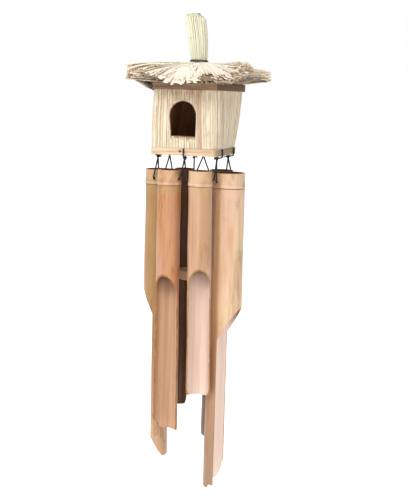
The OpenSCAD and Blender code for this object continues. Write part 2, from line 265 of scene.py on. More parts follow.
class Look:
    """A Principled material with a few shorthand ways to add nodes."""

    def __init__(self, name, roughness=0.6):
        self.mat = bpy.data.materials.new(name)
        self.mat.use_nodes = True
        self.tree = self.mat.node_tree
        self.bsdf = self.tree.nodes["Principled BSDF"]
        self.bsdf.inputs["Roughness"].default_value = roughness
        self.place = self.node("ShaderNodeTexCoord").outputs["Object"]

    def node(self, kind, **values):
        n = self.tree.nodes.new(kind)
        for key, value in values.items():
            setattr(n, key, value)
        return n

    def link(self, source, target):
        if isinstance(source, bpy.types.NodeSocket):
            self.tree.links.new(source, target)
        else:
            target.default_value = source

    def stretched(self, scale, offset=(0, 0, 0), source=None):
        m = self.node("ShaderNodeMapping")
        self.link(source or self.place, m.inputs["Vector"])
        m.inputs["Scale"].default_value = scale
        m.inputs["Location"].default_value = offset
        return m.outputs["Vector"]

    def noise(self, scale, detail, rough, warp=0.0, offset=(0, 0, 0), source=None):
        """Noise over the object's own space, with a scale for each axis."""
        return self.noise_at(self.stretched(scale, offset, source), 1.0, detail, rough, warp)

    def noise_at(self, vector, scale, detail, rough, warp=0.0):
        n = self.node("ShaderNodeTexNoise")
        self.link(vector, n.inputs["Vector"])
        n.inputs["Scale"].default_value = scale
        n.inputs["Detail"].default_value = detail
        n.inputs["Roughness"].default_value = rough
        n.inputs["Distortion"].default_value = warp
        return n.outputs["Fac"]

    def ramp(self, fac, stops):
        n = self.node("ShaderNodeValToRGB")
        self.link(fac, n.inputs["Fac"])
        e = n.color_ramp.elements
        while len(e) < len(stops):
            e.new(0.5)
        for item, (at, colour) in zip(e, stops):
            item.position = at
            item.color = (colour,) * 3 + (1,) if isinstance(colour, (int, float)) else colour
        return n.outputs["Color"]

    def mix(self, fac, a, b, mode="MIX"):
        n = self.node("ShaderNodeMix", data_type="RGBA", blend_type=mode)
        self.link(fac, n.inputs[0])
        self.link(a, n.inputs[6])
        self.link(b, n.inputs[7])
        return n.outputs[2]

    def tint(self, colour, fac, stops, tone):
        """Lays a tone over a colour, as strongly as a ramp over fac says."""
        return self.mix(self.ramp(fac, stops), colour, tone)

    def math(self, op, a, b=0.0):
        n = self.node("ShaderNodeMath", operation=op)
        self.link(a, n.inputs[0])
        self.link(b, n.inputs[1])
        return n.outputs[0]

    def plus(self, a, b):
        return self.math("ADD", a, b)

    def minus(self, a, b):
        return self.math("SUBTRACT", a, b)

    def times(self, a, b):
        return self.math("MULTIPLY", a, b)

    def over(self, a, b):
        return self.math("DIVIDE", a, b)

    def size(self, a):
        return self.math("ABSOLUTE", a)

    def far(self, x, y):
        """The length of a flat vector."""
        return self.math("SQRT", self.plus(self.times(x, x), self.times(y, y)))

    def inward(self):
        """How far the surface faces the Z axis."""
        return self.times(self.facing(None), -1.0)

    def strand(self):
        """The seed, along, shade depth and across marks that a Soup stores."""
        n = self.node("ShaderNodeAttribute", attribute_name="strand")
        s = self.node("ShaderNodeSeparateColor")
        self.link(n.outputs["Color"], s.inputs[0])
        return s.outputs[0], s.outputs[1], s.outputs[2], n.outputs["Alpha"]

    def xyz(self, source=None):
        n = self.node("ShaderNodeSeparateXYZ")
        self.link(source or self.place, n.inputs[0])
        return n.outputs

    def facing(self, way):
        """How far the surface faces a direction: a fixed one, or outward if none is given."""
        normal = self.node("ShaderNodeNewGeometry").outputs["Normal"]
        n = self.node("ShaderNodeVectorMath", operation="DOT_PRODUCT")
        self.link(normal, n.inputs[0])
        if way is None:
            level = self.node("ShaderNodeVectorMath", operation="MULTIPLY")
            self.link(self.place, level.inputs[0])
            level.inputs[1].default_value = (1, 1, 0)
            spoke = self.node("ShaderNodeVectorMath", operation="NORMALIZE")
            self.link(level.outputs[0], spoke.inputs[0])
            self.link(spoke.outputs[0], n.inputs[1])
        else:
            n.inputs[1].default_value = way
        return n.outputs["Value"]

    def vector(self, x, y, z):
        n = self.node("ShaderNodeCombineXYZ")
        for value, socket in zip((x, y, z), n.inputs):
            self.link(value, socket)
        return n.outputs[0]

    def bump(self, height, strength, distance):
        n = self.node("ShaderNodeBump")
        self.link(height, n.inputs["Height"])
        n.inputs["Strength"].default_value = strength
        n.inputs["Distance"].default_value = distance
        self.link(n.outputs["Normal"], self.bsdf.inputs["Normal"])

    def finish(self, colour, roughness=None, specular=None):
        self.link(colour, self.bsdf.inputs["Base Color"])
        if roughness is not None:
            self.link(roughness, self.bsdf.inputs["Roughness"])
        if specular is not None:
            self.bsdf.inputs["Specular IOR Level"].default_value = specular
        return self.mat


def straw_look(name, pale, tan, deep, tip):
    """Dry straw: each strand has its own tone, fine fibres, brown flecks and a warm end, and
    painted shade that darkens strands deeper in the heap.
    """
    m = Look(name, 0.7)
    seed, along, shade_depth, across = m.strand()
    tone = m.ramp(seed, [(0.0, tan), (0.35, pale), (0.8, pale), (1.0, tan)])
    place = m.vector(m.times(across, 5.0), m.times(seed, 91.0), m.times(along, 5.0))
    fibre = m.noise_at(place, 1.6, 4, 0.6)
    colour = m.tint(tone, fibre, [(0.36, 0.55), (0.52, 0.0)], tan)
    flecks = m.noise((260, 260, 260), 2, 0.5)
    colour = m.tint(colour, flecks, [(0.66, 0.0), (0.74, 0.5)], deep)
    colour = m.tint(colour, along, [(0.86, 0.0), (1.0, 0.55)], tip)
    # Painted shade: strands deeper in the heap, and the bores of hollow straws, darken toward the
    # deep tone.
    colour = m.tint(colour, shade_depth, [(0.15, 0.0), (1.0, 0.92)], deep)
    m.bump(fibre, 0.5, 0.4 * MM)
    return m.finish(colour, m.plus(m.times(fibre, 0.3), 0.5), 0.3)


def reed_look():
    """Split reed: cream strips with long brown grain lines, brown streaks toward the top of each
    wall's middle, dark between the strips, and brown inside the house."""
    m = Look("reed_strip", 0.55)
    seed, along, _, across = m.strand()
    cream, warm = srgb(229, 216, 190), srgb(214, 196, 164)
    green, rose = srgb(220, 213, 182), srgb(184, 128, 104)
    tone = m.ramp(seed, [(0.0, green), (0.3, cream), (0.62, warm), (0.86, cream), (0.93, rose)])
    tone.node.color_ramp.interpolation = "CONSTANT"
    tone = m.mix(0.35, tone, cream)
    shift = m.times(seed, 57.0)
    place = m.vector(m.times(across, 2.6), shift, m.times(along, 1.3))
    lines = m.noise_at(place, 2.4, 5, 0.65)
    colour = m.tint(tone, lines, [(0.36, 0.9), (0.49, 0.0)], srgb(166, 126, 88))
    blotch = m.noise_at(m.vector(across, shift, m.times(along, 5.0)), 1.1, 3, 0.6)
    # Brown streaks toward the top of each wall, strongest near its middle.
    top_streaks = m.times(m.ramp(along, [(0.55, 0.0), (1.0, 0.8)]),
                    m.ramp(blotch, [(0.42, 0.0), (0.60, 1.0)]))
    aside = m.over(m.size(m.xyz()[0]), 60 * MM)
    top_streaks = m.times(top_streaks, m.ramp(aside, [(0.30, 1.0), (0.55, 0.3)]))
    colour = m.mix(top_streaks, colour, srgb(160, 116, 82))
    edge = m.ramp(m.size(m.minus(m.times(across, 2.0), 1.0)), [(0.74, 0.0), (1.0, 0.75)])
    joint = m.math("FRACT", m.times(seed, 17.0))
    edge = m.times(edge, m.plus(m.times(joint, 0.8), 0.2))
    colour = m.mix(edge, colour, srgb(138, 102, 68))
    colour = m.tint(colour, m.inward(), [(0.3, 0.0), (0.5, 1.0)], srgb(168, 120, 84))
    m.bump(lines, 0.45, 0.35 * MM)
    return m.finish(colour, m.plus(m.times(lines, 0.3), 0.38), 0.35)


KNOT_TONE = srgb(84, 54, 34)


def board_look(name, light, mid, dark, side, knots=()):
    """Sawn softwood: grain lines along X, saw marks, small brown knots, and painted shade
    that darkens its right-hand side."""
    m = Look(name, 0.65)
    grain = m.noise((14, 300, 420), 4, 0.6, 0.6)
    broad = m.noise((9, 60, 60), 2, 0.5, offset=(3, 1, 5))
    colour = m.ramp(broad, [(0.32, mid), (0.62, light)])
    colour = m.tint(colour, grain, [(0.36, 0.7), (0.54, 0.0)], dark)
    for where, size in knots:
        d = m.node("ShaderNodeVectorMath", operation="DISTANCE")
        m.link(m.place, d.inputs[0])
        d.inputs[1].default_value = where
        ring = m.over(d.outputs["Value"], size)
        colour = m.tint(colour, ring, [(0.45, 1.0), (0.62, 0.45), (1.0, 0.0)], KNOT_TONE)
    # Painted shade: the faces that look right turn toward the side tone.
    wear_and_side_shade = m.times(m.ramp(m.facing((1, 0, 0)), [(0.25, 0.0), (0.75, 0.85)]),
                   m.plus(m.times(grain, 0.6), 0.65))
    colour = m.mix(wear_and_side_shade, colour, side)
    saw = m.noise((500, 40, 40), 2, 0.5)
    m.bump(m.mix(0.5, grain, saw), 0.35, 0.35 * MM)
    return m.finish(colour, m.plus(m.times(grain, 0.25), 0.48), 0.3)


def bamboo_skin(name, centre, node_z, scoop_z, tones, offset, band, scar=None, inner=None):
    """Bamboo's outer skin: long streaks of colour, smudges, fine fibres, and a node with a
    dark line in a pale ring, a band of its own tone below it and a paler collar above."""
    pale, warm, rose, dark, foot = tones
    m = Look(name, 0.4)
    local = m.stretched((1, 1, 1), (-centre[0], -centre[1], offset))
    streak = m.noise((62, 62, 2.2), 2, 0.5, 0.4, source=local)
    broad = m.noise((26, 26, 5), 3, 0.55, 0.8, (7, 3, 0), local)
    fibre = m.noise((900, 900, 9), 4, 0.6, source=local)
    smudge = m.noise((75, 75, 17), 4, 0.65, 1.2, (1, 9, 4), local)
    colour = m.ramp(streak, [(0.30, warm), (0.47, pale), (0.56, rose), (0.72, pale)])
    colour = m.tint(colour, broad, [(0.38, 0.9), (0.58, 0.0)], warm)
    z = m.xyz()[2]
    low = m.over(m.minus(scoop_z, z), 180 * MM)
    colour = m.tint(colour, low, [(0.0, 0.0), (1.0, 0.9)], foot)
    colour = m.tint(colour, smudge, [(0.56, 0.0), (0.68, 0.38)], dark)
    colour = m.tint(colour, fibre, [(0.30, 0.32), (0.50, 0.0)], dark)
    level = m.over(m.minus(z, node_z), MM)
    ragged = m.times(m.minus(broad, 0.5), 9 * MM)
    above = m.over(m.minus(m.plus(z, ragged), node_z), MM)
    near = m.over(m.size(level), 40.0)
    colour = m.tint(colour, near, [(0.0, 0.2), (0.02, 0.6), (0.085, 0.0)], srgb(236, 208, 178))
    line = m.over(m.size(m.plus(level, 1.9)), 3.0)
    colour = m.tint(colour, line, [(0.12, 0.85), (0.34, 0.0)], srgb(112, 66, 44))
    part = m.ramp(m.over(m.times(above, -1.0), 40.0),
                  [(0.05, 0.0), (0.08, 0.75), (0.28, 0.7), (0.40, 0.0)])
    colour = m.mix(m.times(part, band[0]), colour, srgb(*band[1:]))
    colour = m.tint(colour, m.over(above, 10.0), [(0.1, 0.0), (0.5, 0.5)], srgb(218, 184, 144))
    # Painted shade: the side that faces the middle of the chime turns toward the inner tone.
    if inner is not None:
        colour = m.tint(colour, m.inward(), [(0.0, 0.0), (0.55, 0.95)], inner)
    marks = m.noise((62, 62, 34), 4, 0.6, 0.6, (5, 2, 7), local)
    high = m.ramp(m.plus(m.over(above, 40.0), 0.5), [(0.08, 0.0), (0.45, 0.55), (0.6, 1.0)])
    marks = m.times(m.ramp(marks, [(0.50, 0.0), (0.72, 0.7)]), high)
    colour = m.mix(marks, colour, dark)
    if scar is not None:
        x, y, up = m.xyz(m.stretched((1, 1, 1), tuple(-c for c in scar)))
        tall = m.math("MAXIMUM", m.over(up, 3 * MM), m.over(up, -11 * MM))
        shape = m.plus(m.over(m.far(x, y), 4.2 * MM), tall)
        colour = m.tint(colour, shape, [(0.80, 0.35), (0.95, 0.75), (1.08, 0.0)],
                        srgb(140, 92, 58))
    m.bump(fibre, 0.22, 0.25 * MM)
    return m.finish(colour, m.plus(m.times(smudge, 0.35), 0.26), 0.45)


def bamboo_inside(name, light, mid, dark, offset, arch_z):
    """The scooped inner face: matte, with fine fibres, and painted shade that darkens it up inside
    the tube.
    """
    m = Look(name, 0.75)
    streak = m.noise((150, 150, 3.5), 3, 0.6, 0.3, (0, 0, offset))
    fibre = m.noise((1100, 1100, 14), 4, 0.6, offset=(2, 2, offset))
    pores = m.noise((420, 420, 300), 2, 0.4, offset=(offset, 0, 0))
    colour = m.ramp(streak, [(0.34, mid), (0.60, light)])
    colour = m.tint(colour, fibre, [(0.30, 0.5), (0.50, 0.0)], mid)
    colour = m.tint(colour, pores, [(0.76, 0.0), (0.80, 0.7)], dark)
    # Painted shade: darker toward the arch and up inside the tube, where light does not reach.
    height = m.over(m.minus(m.xyz()[2], arch_z - 40 * MM), 40 * MM)
    colour = m.tint(colour, height, [(0.20, 0.0), (0.60, 0.45), (0.86, 1.0)], dark)
    m.bump(fibre, 0.4, 0.3 * MM)
    return m.finish(colour, 0.78, 0.2)


def bamboo_cut(name, light, dark):
    """A sawn edge of bamboo, with its dense dark fibre dots."""
    m = Look(name, 0.7)
    dots = m.noise((1500, 1500, 120), 3, 0.6)
    saw = m.noise((200, 200, 900), 2, 0.5)
    colour = m.ramp(dots, [(0.38, dark), (0.60, light)])
    m.bump(m.mix(0.5, dots, saw), 0.5, 0.3 * MM)
    return m.finish(colour, 0.72, 0.25)


def cord_look(name, dark, light):
    """Waxed twisted cord, nearly black, with paler worn plies."""
    m = Look(name, 0.5)
    hair = m.noise((2600, 2600, 2600), 3, 0.6)
    wear = m.noise((120, 120, 120), 2, 0.5)
    colour = m.mix(m.ramp(hair, [(0.45, 0.0), (0.72, 0.6)]), dark, light)
    colour = m.tint(colour, wear, [(0.52, 0.0), (0.75, 0.4)], light)
    m.bump(hair, 0.6, 0.2 * MM)
    return m.finish(colour, m.plus(m.times(hair, 0.3), 0.35), 0.4)


def clapper_look():
    """A slice of pale wood: growth rings on its faces, rough bark-free rim."""
    m = Look("clapper_wood", 0.7)
    x, y, _ = m.xyz()
    wob = m.noise((70, 70, 20), 3, 0.5)
    ring = m.math("SINE", m.plus(m.times(m.far(x, y), 2600.0), m.times(wob, 9.0)))
    fibre = m.noise((420, 420, 60), 4, 0.6)
    colour = m.ramp(m.plus(m.times(ring, 0.25), 0.5),
                    [(0.2, srgb(214, 184, 146)), (0.8, srgb(196, 162, 122))])
    colour = m.tint(colour, fibre, [(0.36, 0.55), (0.54, 0.0)], srgb(150, 112, 76))
    m.bump(fibre, 0.5, 0.4 * MM)
    return m.finish(colour, 0.72, 0.25)


STRAW = straw_look("roof_straw", srgb(245, 239, 223), srgb(240, 229, 207),
                   srgb(110, 84, 54), srgb(236, 206, 180))
BUNDLE = straw_look("bundle_straw", srgb(236, 234, 214), srgb(220, 212, 182),
                    srgb(158, 140, 104), srgb(232, 228, 204))
REED = reed_look()
# Painted shade: the top board's tones are darker than the base board's, as under the eaves, and
# its last tone is the shade on its right-hand side.
TOP_WOOD = board_look("top_board_wood", srgb(150, 120, 92), srgb(126, 96, 70), srgb(88, 62, 40),
                      srgb(82, 58, 38))
CORD = cord_look("black_cord", srgb(18, 17, 18), srgb(62, 58, 56))
TIE = cord_look("dark_tie", srgb(58, 50, 44), srgb(104, 92, 80))


# ---------------------------------------------------------------- straw roof and bundle

board_corners = square_corners("top_board")
roof_corners = square_corners("roof_thatch")
roof_centre = roof_corners.mean(0)
roof_x = unit(roof_corners[1] - roof_corners[0])
roof_y = np.array([-roof_x[1], roof_x[0]])
roof_half = np.linalg.norm(roof_corners[1] - roof_corners[0]) / 2
board_half = np.linalg.norm(board_corners[1] - board_corners[0]) / 2
peak_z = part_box("roof_thatch")[1].z
board_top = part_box("top_board")[1].z
tie_low, tie_high = box_of("topknot_tie")
neck_xy = (tie_low[:2] + tie_high[:2]) / 2
neck_r = (tie_high[0] - tie_low[0]) / 2 - 2.5 * MM

# How far the eave hangs below the peak, and how thick the straw is there, at eight places
# round the roof: front, front right corner, right, back right corner, and so on.
EAVE_DROP = np.array([22, 19, 9, 9, 21, 12, 20, 5]) * MM
EAVE_THICK = np.array([8, 7, 10, 11, 10, 13, 15, 18]) * MM


def round_roof(values, phi):
    """Blends eight values round the roof. Angle 0 is the middle of the front eave."""
    t = (np.asarray(phi) / TAU * 8) % 8
    i = np.floor(t).astype(int)
    w = (1 - np.cos((t - i) * math.pi)) / 2
    return values[i % 8] * (1 - w) + values[(i + 1) % 8] * w


EAVE_SQUARE = 22.0
TOP_CURVE = 1.6


def eave_reach(phi):
    """Distance from the centre to the eave: a square with softened corners."""
    c, s = np.abs(np.cos(phi)), np.abs(np.sin(phi))
    return roof_half * (c ** EAVE_SQUARE + s ** EAVE_SQUARE) ** (-1 / EAVE_SQUARE)


def roof_point(phi, reach, layer):
    """A point in the straw. Reach is 0 at the centre and 1 at the eave; layer is 0 on top
    and 1 underneath."""
    phi, reach = np.broadcast_arrays(np.asarray(phi, float), np.asarray(reach, float))
    r = eave_reach(phi) * reach
    u, v = r * np.sin(phi), -r * np.cos(phi)
    drop = round_roof(EAVE_DROP, phi)
    top = peak_z - drop * reach ** TOP_CURVE
    under_eave = peak_z - drop - round_roof(EAVE_THICK, phi)
    outside = np.clip((np.maximum(np.abs(u), np.abs(v)) - board_half - 1 * MM)
                      / (roof_half - board_half), 0, 1)
    under = board_top + 0.6 * MM + (under_eave - board_top) * outside
    under = np.minimum(under, top - 2 * MM)
    z = top + (under - top) * layer
    xy = roof_centre + u[..., None] * roof_x + v[..., None] * roof_y
    return np.concatenate([xy, z[..., None]], -1)


def add_straw(soup, path, width, thick, hint, seed, shade_depth, bright_end):
    """One flattened straw, with a lens-shaped section, lying near a hinted normal. A bright
    end leaves out the last, warm part of the straw's tones."""
    tangent = unit(np.gradient(path, axis=0))
    side = unit(np.cross(np.broadcast_to(hint, path.shape), tangent))
    normal = np.cross(tangent, side)
    a = spread(6)
    w = width[:, None, None] / 2
    rings = path[:, None] + (np.cos(a)[None, :, None] * side[:, None] * w
                             + np.sin(a)[None, :, None] * normal[:, None] * thick / 2)
    along = np.linspace(0, 0.8 if bright_end else 1, len(path))[:, None]
    soup.rings(rings, strand_marks(rings.shape[:2], seed, along, shade_depth, 0.5 + 0.5 * np.cos(a)))


def on_roof(u, v, layer):
    """The point in the straw over a place in the roof's own plan."""
    phi = np.arctan2(u, -v)
    return roof_point(phi, np.hypot(u, v) / eave_reach(phi), layer)


def plan(eighths, reach):
    """The place in the roof's plan at an eighth of a turn from the front and a reach."""
    phi = eighths * TAU / 8
    r = eave_reach(np.array(phi)) * reach
    return np.array([r * math.sin(phi), -r * math.cos(phi)])


def lay_straw(soup, rng, start, end, layer, width, lift=0.0, droop=0.0, hollow=False,
              tone=None, white_tip=False):
    """A straw that lies on the roof from one place in its plan to another, width mm wide.
    Its tone is how much painted shade darkens it, and follows the layer if none is given."""
    t = np.linspace(0, 1, 9)
    across = unit(np.array([start[1] - end[1], end[0] - start[0]]))
    bend = rng.normal(0, 0.9) * MM * np.sin(t * math.pi) + rng.normal(0, 0.5) * MM
    uv = start + (end - start) * t[:, None] + across * bend[:, None]
    path = on_roof(uv[:, 0], uv[:, 1], layer)
    path[:, 2] += (lift + rng.normal(0, 0.35) * MM) * t ** TOP_CURVE - droop * t ** 4
    path[:, 2] += 0.35 * MM * np.sin(t * TAU * rng.uniform(0.3, 1) + rng.uniform(0, TAU))
    # Painted shade: straws in lower layers carry more of it unless a tone is given.
    shade_depth = layer ** 1.5 * 0.9 if tone is None else tone
    if hollow:
        add_hollow_straw(soup, path, width * MM / 2, rng.uniform(), shade_depth)
        return
    reach = np.hypot(uv[:, 0], uv[:, 1]) / roof_half
    w = width * MM * (0.5 + 0.5 * smoothstep(reach, 0.1, 0.4)) * rng.uniform(0.85, 1.15)
    tilt = unit(np.array([rng.normal(0, 0.18), rng.normal(0, 0.18), 1.0]))
    add_straw(soup, path, w, rng.uniform(0.6, 0.9) * MM, tilt, rng.uniform(), shade_depth, white_tip)


# The even layers of straw, from the bottom up: layer, number of straws, and their width.
STRAW_LAYERS = [(1.0, 110, 2.2), (0.82, 110, 2.2), (0.64, 110, 2.4), (0.46, 110, 2.4),
                (0.30, 110, 2.6), (0.16, 96, 3.2), (0.06, 96, 3.6), (0.0, 84, 3.8)]
# Where the upper straws are cut short, near the front right corner, in eighths of a turn.
SHORT_AT, SHORT_HALF, SHORT_BY = 0.70, 0.17, 0.15


def build_roof():
    """The whole straw roof as one piece: core, even layers, fan, heap and corner bunches."""
    rng = np.random.default_rng(SEED)
    soup = Soup()
    add_roof_core(soup)
    neck = neck_r / roof_half
    for layer, count, width in STRAW_LAYERS:
        for i in range(count):
            at = (i + rng.uniform()) / count * 8
            top = layer < 0.2
            start = neck * rng.uniform(0.78, 0.92) if top else rng.uniform(0.3, 0.62)
            short = SHORT_BY * math.exp(-((at - SHORT_AT) / SHORT_HALF) ** 2)
            end = rng.uniform(0.93, 1.02) - 0.04 * layer - (short if layer < 0.7 else 0)
            lay_straw(soup, rng, plan(at, start), plan(at + rng.normal(0, 0.10), end), layer,
                      width, droop=abs(rng.normal(0, 1.1)) * MM)
    add_front_fan(soup, rng)
    add_heap(soup, rng)
    add_corners(soup, rng)
    piece = soup.build("straw_roof", [STRAW], 60)
    hand_over(piece, "roof_thatch", "house")


CORE_ROWS = 12
CORE_SHADE = 0.97
CORE_CORNER, CORE_CORNER_HALF, CORE_CORNER_ROWS = 0.8, 0.55, 3


def add_roof_core(soup):
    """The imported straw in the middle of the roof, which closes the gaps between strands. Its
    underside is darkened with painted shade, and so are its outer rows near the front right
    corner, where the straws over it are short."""
    phi = spread(72)
    reach = np.linspace(0.06, 0.9, CORE_ROWS)
    tops = [roof_point(phi, r, 0.22) for r in reach]
    lows = [roof_point(phi, r, 0.85) for r in reach[::-1]]
    rings = np.array(tops + lows)
    # Painted shade: some over the whole core, and full on the dark rows below.
    marks = np.full(rings.shape[:2] + (4,), 0.4)
    near_corner = np.abs(phi / TAU * 8 - CORE_CORNER) < CORE_CORNER_HALF
    marks[CORE_ROWS - CORE_CORNER_ROWS:, near_corner, 2] = CORE_SHADE
    marks[CORE_ROWS:, :, 2] = CORE_SHADE
    soup.rings(rings, marks)


def add_front_fan(soup, rng):
    """Broad pale strips over the doorway, spread like a fan from a point below the tie."""
    count = 46
    for i in range(count):
        share = (i + rng.uniform(0.2, 0.8)) / count
        end = plan(-0.95 + 1.5 * share, rng.uniform(0.96, 1.05))
        start = plan(-0.30, 0.36) + rng.normal(0, 1.6, 2) * MM + (end - plan(-0.2, 1)) * 0.07
        lay_straw(soup, rng, start, end, 0.0, rng.uniform(3.4, 5.0),
                  lift=rng.uniform(0.4, 1.6) * MM, droop=rng.uniform(2.5, 8) * MM,
                  tone=rng.uniform(0, 0.12), white_tip=True)


HEAP_AT = 1.75


def add_heap(soup, rng):
    """Cut straws heaped along the right-hand eave with their hollow ends outward, and a few
    broad ones over them. The heap is highest at HEAP_AT, in eighths of a turn."""
    for _ in range(190):
        at = rng.uniform(1.1, 2.35)
        rise = math.exp(-((at - HEAP_AT) / 0.38) ** 2)
        reach = rng.uniform(0.74, 0.99)
        # Painted shade: each heaped straw takes little, some or much of it, picked at random.
        lay_straw(soup, rng, plan(at + rng.normal(0, 0.3), rng.uniform(0.35, 0.6)),
                  plan(at, reach), rng.uniform(0, 0.5), rng.uniform(1.3, 2.1),
                  lift=rng.uniform(0.1, 1.0) * (2 + 11 * rise) * MM, hollow=True,
                  tone=rng.choice([0.05, 0.3, 0.9]))
    for _ in range(70):
        at = rng.uniform(0.55, 2.3)
        rise = math.exp(-((at - HEAP_AT) / 0.42) ** 2)
        lay_straw(soup, rng, plan(at - 0.2, rng.uniform(0.15, 0.3)),
                  plan(at, rng.uniform(0.84, 1.0)), 0.0, rng.uniform(2.2, 3.6),
                  lift=rng.uniform(0.5, 1.0) * (1 + 8.5 * rise) * MM, tone=rng.uniform(0, 0.2))


# The square bunches at the roof's corners: the middle of each and its half-width in eighths
# of a turn, the number of straws, how far their ends hang in mm, and how late painted shade
# darkens them toward the underside.
CORNER_BUNCHES = [(1.0, 0.16, 44, 0.5, 1.3), (3.0, 0.15, 70, 0.5, 1.6),
                  (5.0, 0.15, 50, 1.0, 2.0), (7.0, 0.17, 110, 0.5, 3.5)]


def add_corners(soup, rng):
    """The bunches at the corners, then straws darkened with painted shade under the front right
    corner and behind the ends of the front left one."""
    for at, half, count, droop, fade in CORNER_BUNCHES:
        for i in range(count):
            layer = rng.uniform(0, 1) ** 0.8
            end = at + rng.uniform(-half, half)
            lay_straw(soup, rng, plan(end + rng.normal(0, 0.1), rng.uniform(0.3, 0.5)),
                      plan(end, rng.uniform(0.94, 1.02)), layer, rng.uniform(1.5, 2.6),
                      droop=rng.uniform(0.2, 1) * droop * MM, hollow=i % 2 == 0,
                      tone=layer ** fade)
    for _ in range(110):
        at = rng.uniform(0.30, 1.25)
        lay_straw(soup, rng, plan(at, 0.5), plan(at, rng.uniform(0.80, 0.93)), 1.0,
                  rng.uniform(1.8, 3.0), droop=rng.uniform(0, 2) * MM, tone=rng.uniform(0.7, 1))
    for _ in range(26):
        at = rng.uniform(6.55, 6.95)
        lay_straw(soup, rng, plan(at, 0.96), plan(at, rng.uniform(0.66, 0.74)), 1.0,
                  rng.uniform(1.8, 3.0), lift=-rng.uniform(5, 11) * MM, tone=1.0)


GOLDEN_ANGLE = 2.39996


def build_bundle():
    """The tied straws that stand above the roof, each hollow at its cut end."""
    rng = np.random.default_rng(SEED + 1)
    soup = Soup()
    high_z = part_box("topknot")[1].z
    pts = node_points("topknot")
    crown = pts[pts[:, 2] > high_z - 1 * MM]
    crown_xy = (crown.min(0) + crown.max(0))[:2] / 2
    crown_r = (crown[:, 0].max() - crown[:, 0].min()) / 2
    lean = unit(crown_xy - neck_xy)
    middle_xy = neck_xy + (crown_xy - neck_xy) * 0.38
    count = 330
    for i in range(count):
        out = math.sqrt((i + 0.5) / count)
        a = i * GOLDEN_ANGLE + rng.normal(0, 0.08)
        spoke = np.array([math.cos(a), math.sin(a)])
        side = spoke @ lean
        top = high_z + (9.0 - (1.4 + 6.0 * (0.6 - 0.35 * side)) * out ** 2) * MM
        top = min(top + rng.normal(0, 0.6) * MM, cad_box[1][2] + 1.4 * MM)
        r = rng.uniform(0.65, 0.95) * MM
        stops = [(peak_z - 6 * MM, neck_xy, neck_r * 1.02 - r),
                 (peak_z, neck_xy, neck_r - r),
                 (peak_z + 3 * MM, neck_xy, neck_r - r),
                 (peak_z + 9 * MM, neck_xy * 0.9 + middle_xy * 0.1, neck_r * 1.12 - r),
                 (peak_z + 30 * MM, middle_xy, crown_r * 0.98 - r),
                 (top, crown_xy, crown_r * 1.07 - r)]
        points = [np.append(c + spoke * rr * out + rng.normal(0, 0.12, 2) * MM, z)
                  for z, c, rr in stops]
        path = smooth_path(points, 6 * MM)
        # Painted shade: straws nearer the middle of the bundle are darker.
        add_hollow_straw(soup, path, r, rng.uniform(), 0.45 * (1 - out))
    piece = soup.build("straw_bundle", [BUNDLE], 50)
    hand_over(piece, "topknot", "house")


def add_hollow_straw(soup, path, r, seed, shade_depth):
    """A round straw with a short bore at its cut end, painted with shade inside."""
    tangent, side, normal = rolling_frames(path)
    a = spread(8)
    circle = hoops(a, side, normal)
    rings = path[:, None] + r * circle
    bore = [path[-1] + 0.62 * r * circle[-1],
            path[-1] - tangent[-1] * 2.5 * MM + 0.6 * r * circle[-1]]
    rings = np.concatenate([rings, np.array(bore)])
    n = len(path)
    along = np.append(np.linspace(0, 1, n), [1, 1])[:, None]
    # Painted shade: the straw keeps half its given shade, and its bore turns fully dark inside.
    dark = np.append(np.full(n, shade_depth * 0.5), [0.2, 1.0])[:, None]
    soup.rings(rings, strand_marks(rings.shape[:2], seed, along, dark, a / TAU))


def build_neck_tie():
    """Dark cord wound round the neck of the bundle and knotted behind."""
    soup = Soup()
    r = neck_r + 0.75 * MM
    turns, knot_turn, count = 2.6, 1.2, 60
    a = np.linspace(0, TAU * turns, count) + knot_turn
    z = tie_low[2] + (0.7 + 1.5 * np.linspace(0, 1, count)) * MM
    path = np.stack([neck_xy[0] + r * np.cos(a), neck_xy[1] + r * np.sin(a), z], 1)
    add_cord(soup, path, 0.72 * MM)
    spoke = np.array([math.cos(knot_turn), math.sin(knot_turn)])
    back = np.append(neck_xy + (r + 0.4 * MM) * spoke, z[count // 2])
    add_cord(soup, knot_path(back, 1.7 * MM, 0.6), 0.7 * MM)
    piece = soup.build("neck_tie", [TIE], 60)
    hand_over(piece, "topknot_tie", "house")


def build_hanging_cord():
    """The eye above the straw, its stem through the roof and the stop knot inside."""
    soup = Soup()
    low, high = box_of("hanging_cord")
    r = high[2] - CORD_R
    a = np.linspace(-0.5, 0.5, 25) * TAU * 0.94 + math.pi / 2
    loop = np.stack([r * np.cos(a), np.zeros(25), r * np.sin(a)], 1)
    stem = np.array([0.0, 0.0, -r - 5 * MM])
    add_cord(soup, np.vstack([[stem + [0.5 * MM, 0, 0]], loop, [stem - [0.5 * MM, 0, 0]]]))
    add_cord(soup, [stem + [0, 0, 1.5 * MM], stem - [0, 0, 30 * MM],
                    [0, 0, low[2] + 2 * MM]])
    add_cord(soup, knot_path([0, 0, -r - 2.2 * MM], 2.0 * MM, 0.4))
    add_cord(soup, knot_path([0, 0, low[2] + 2.3 * MM], 2.2 * MM, 1.1))
    piece = soup.build("hanging_loop", [CORD], 60)
    hand_over(piece, "hanging_cord", "house")


# ---------------------------------------------------------------- the house

base_low, base_high = box_of("base_board")
base_corners = np.array(AROUND) * base_high[:2]


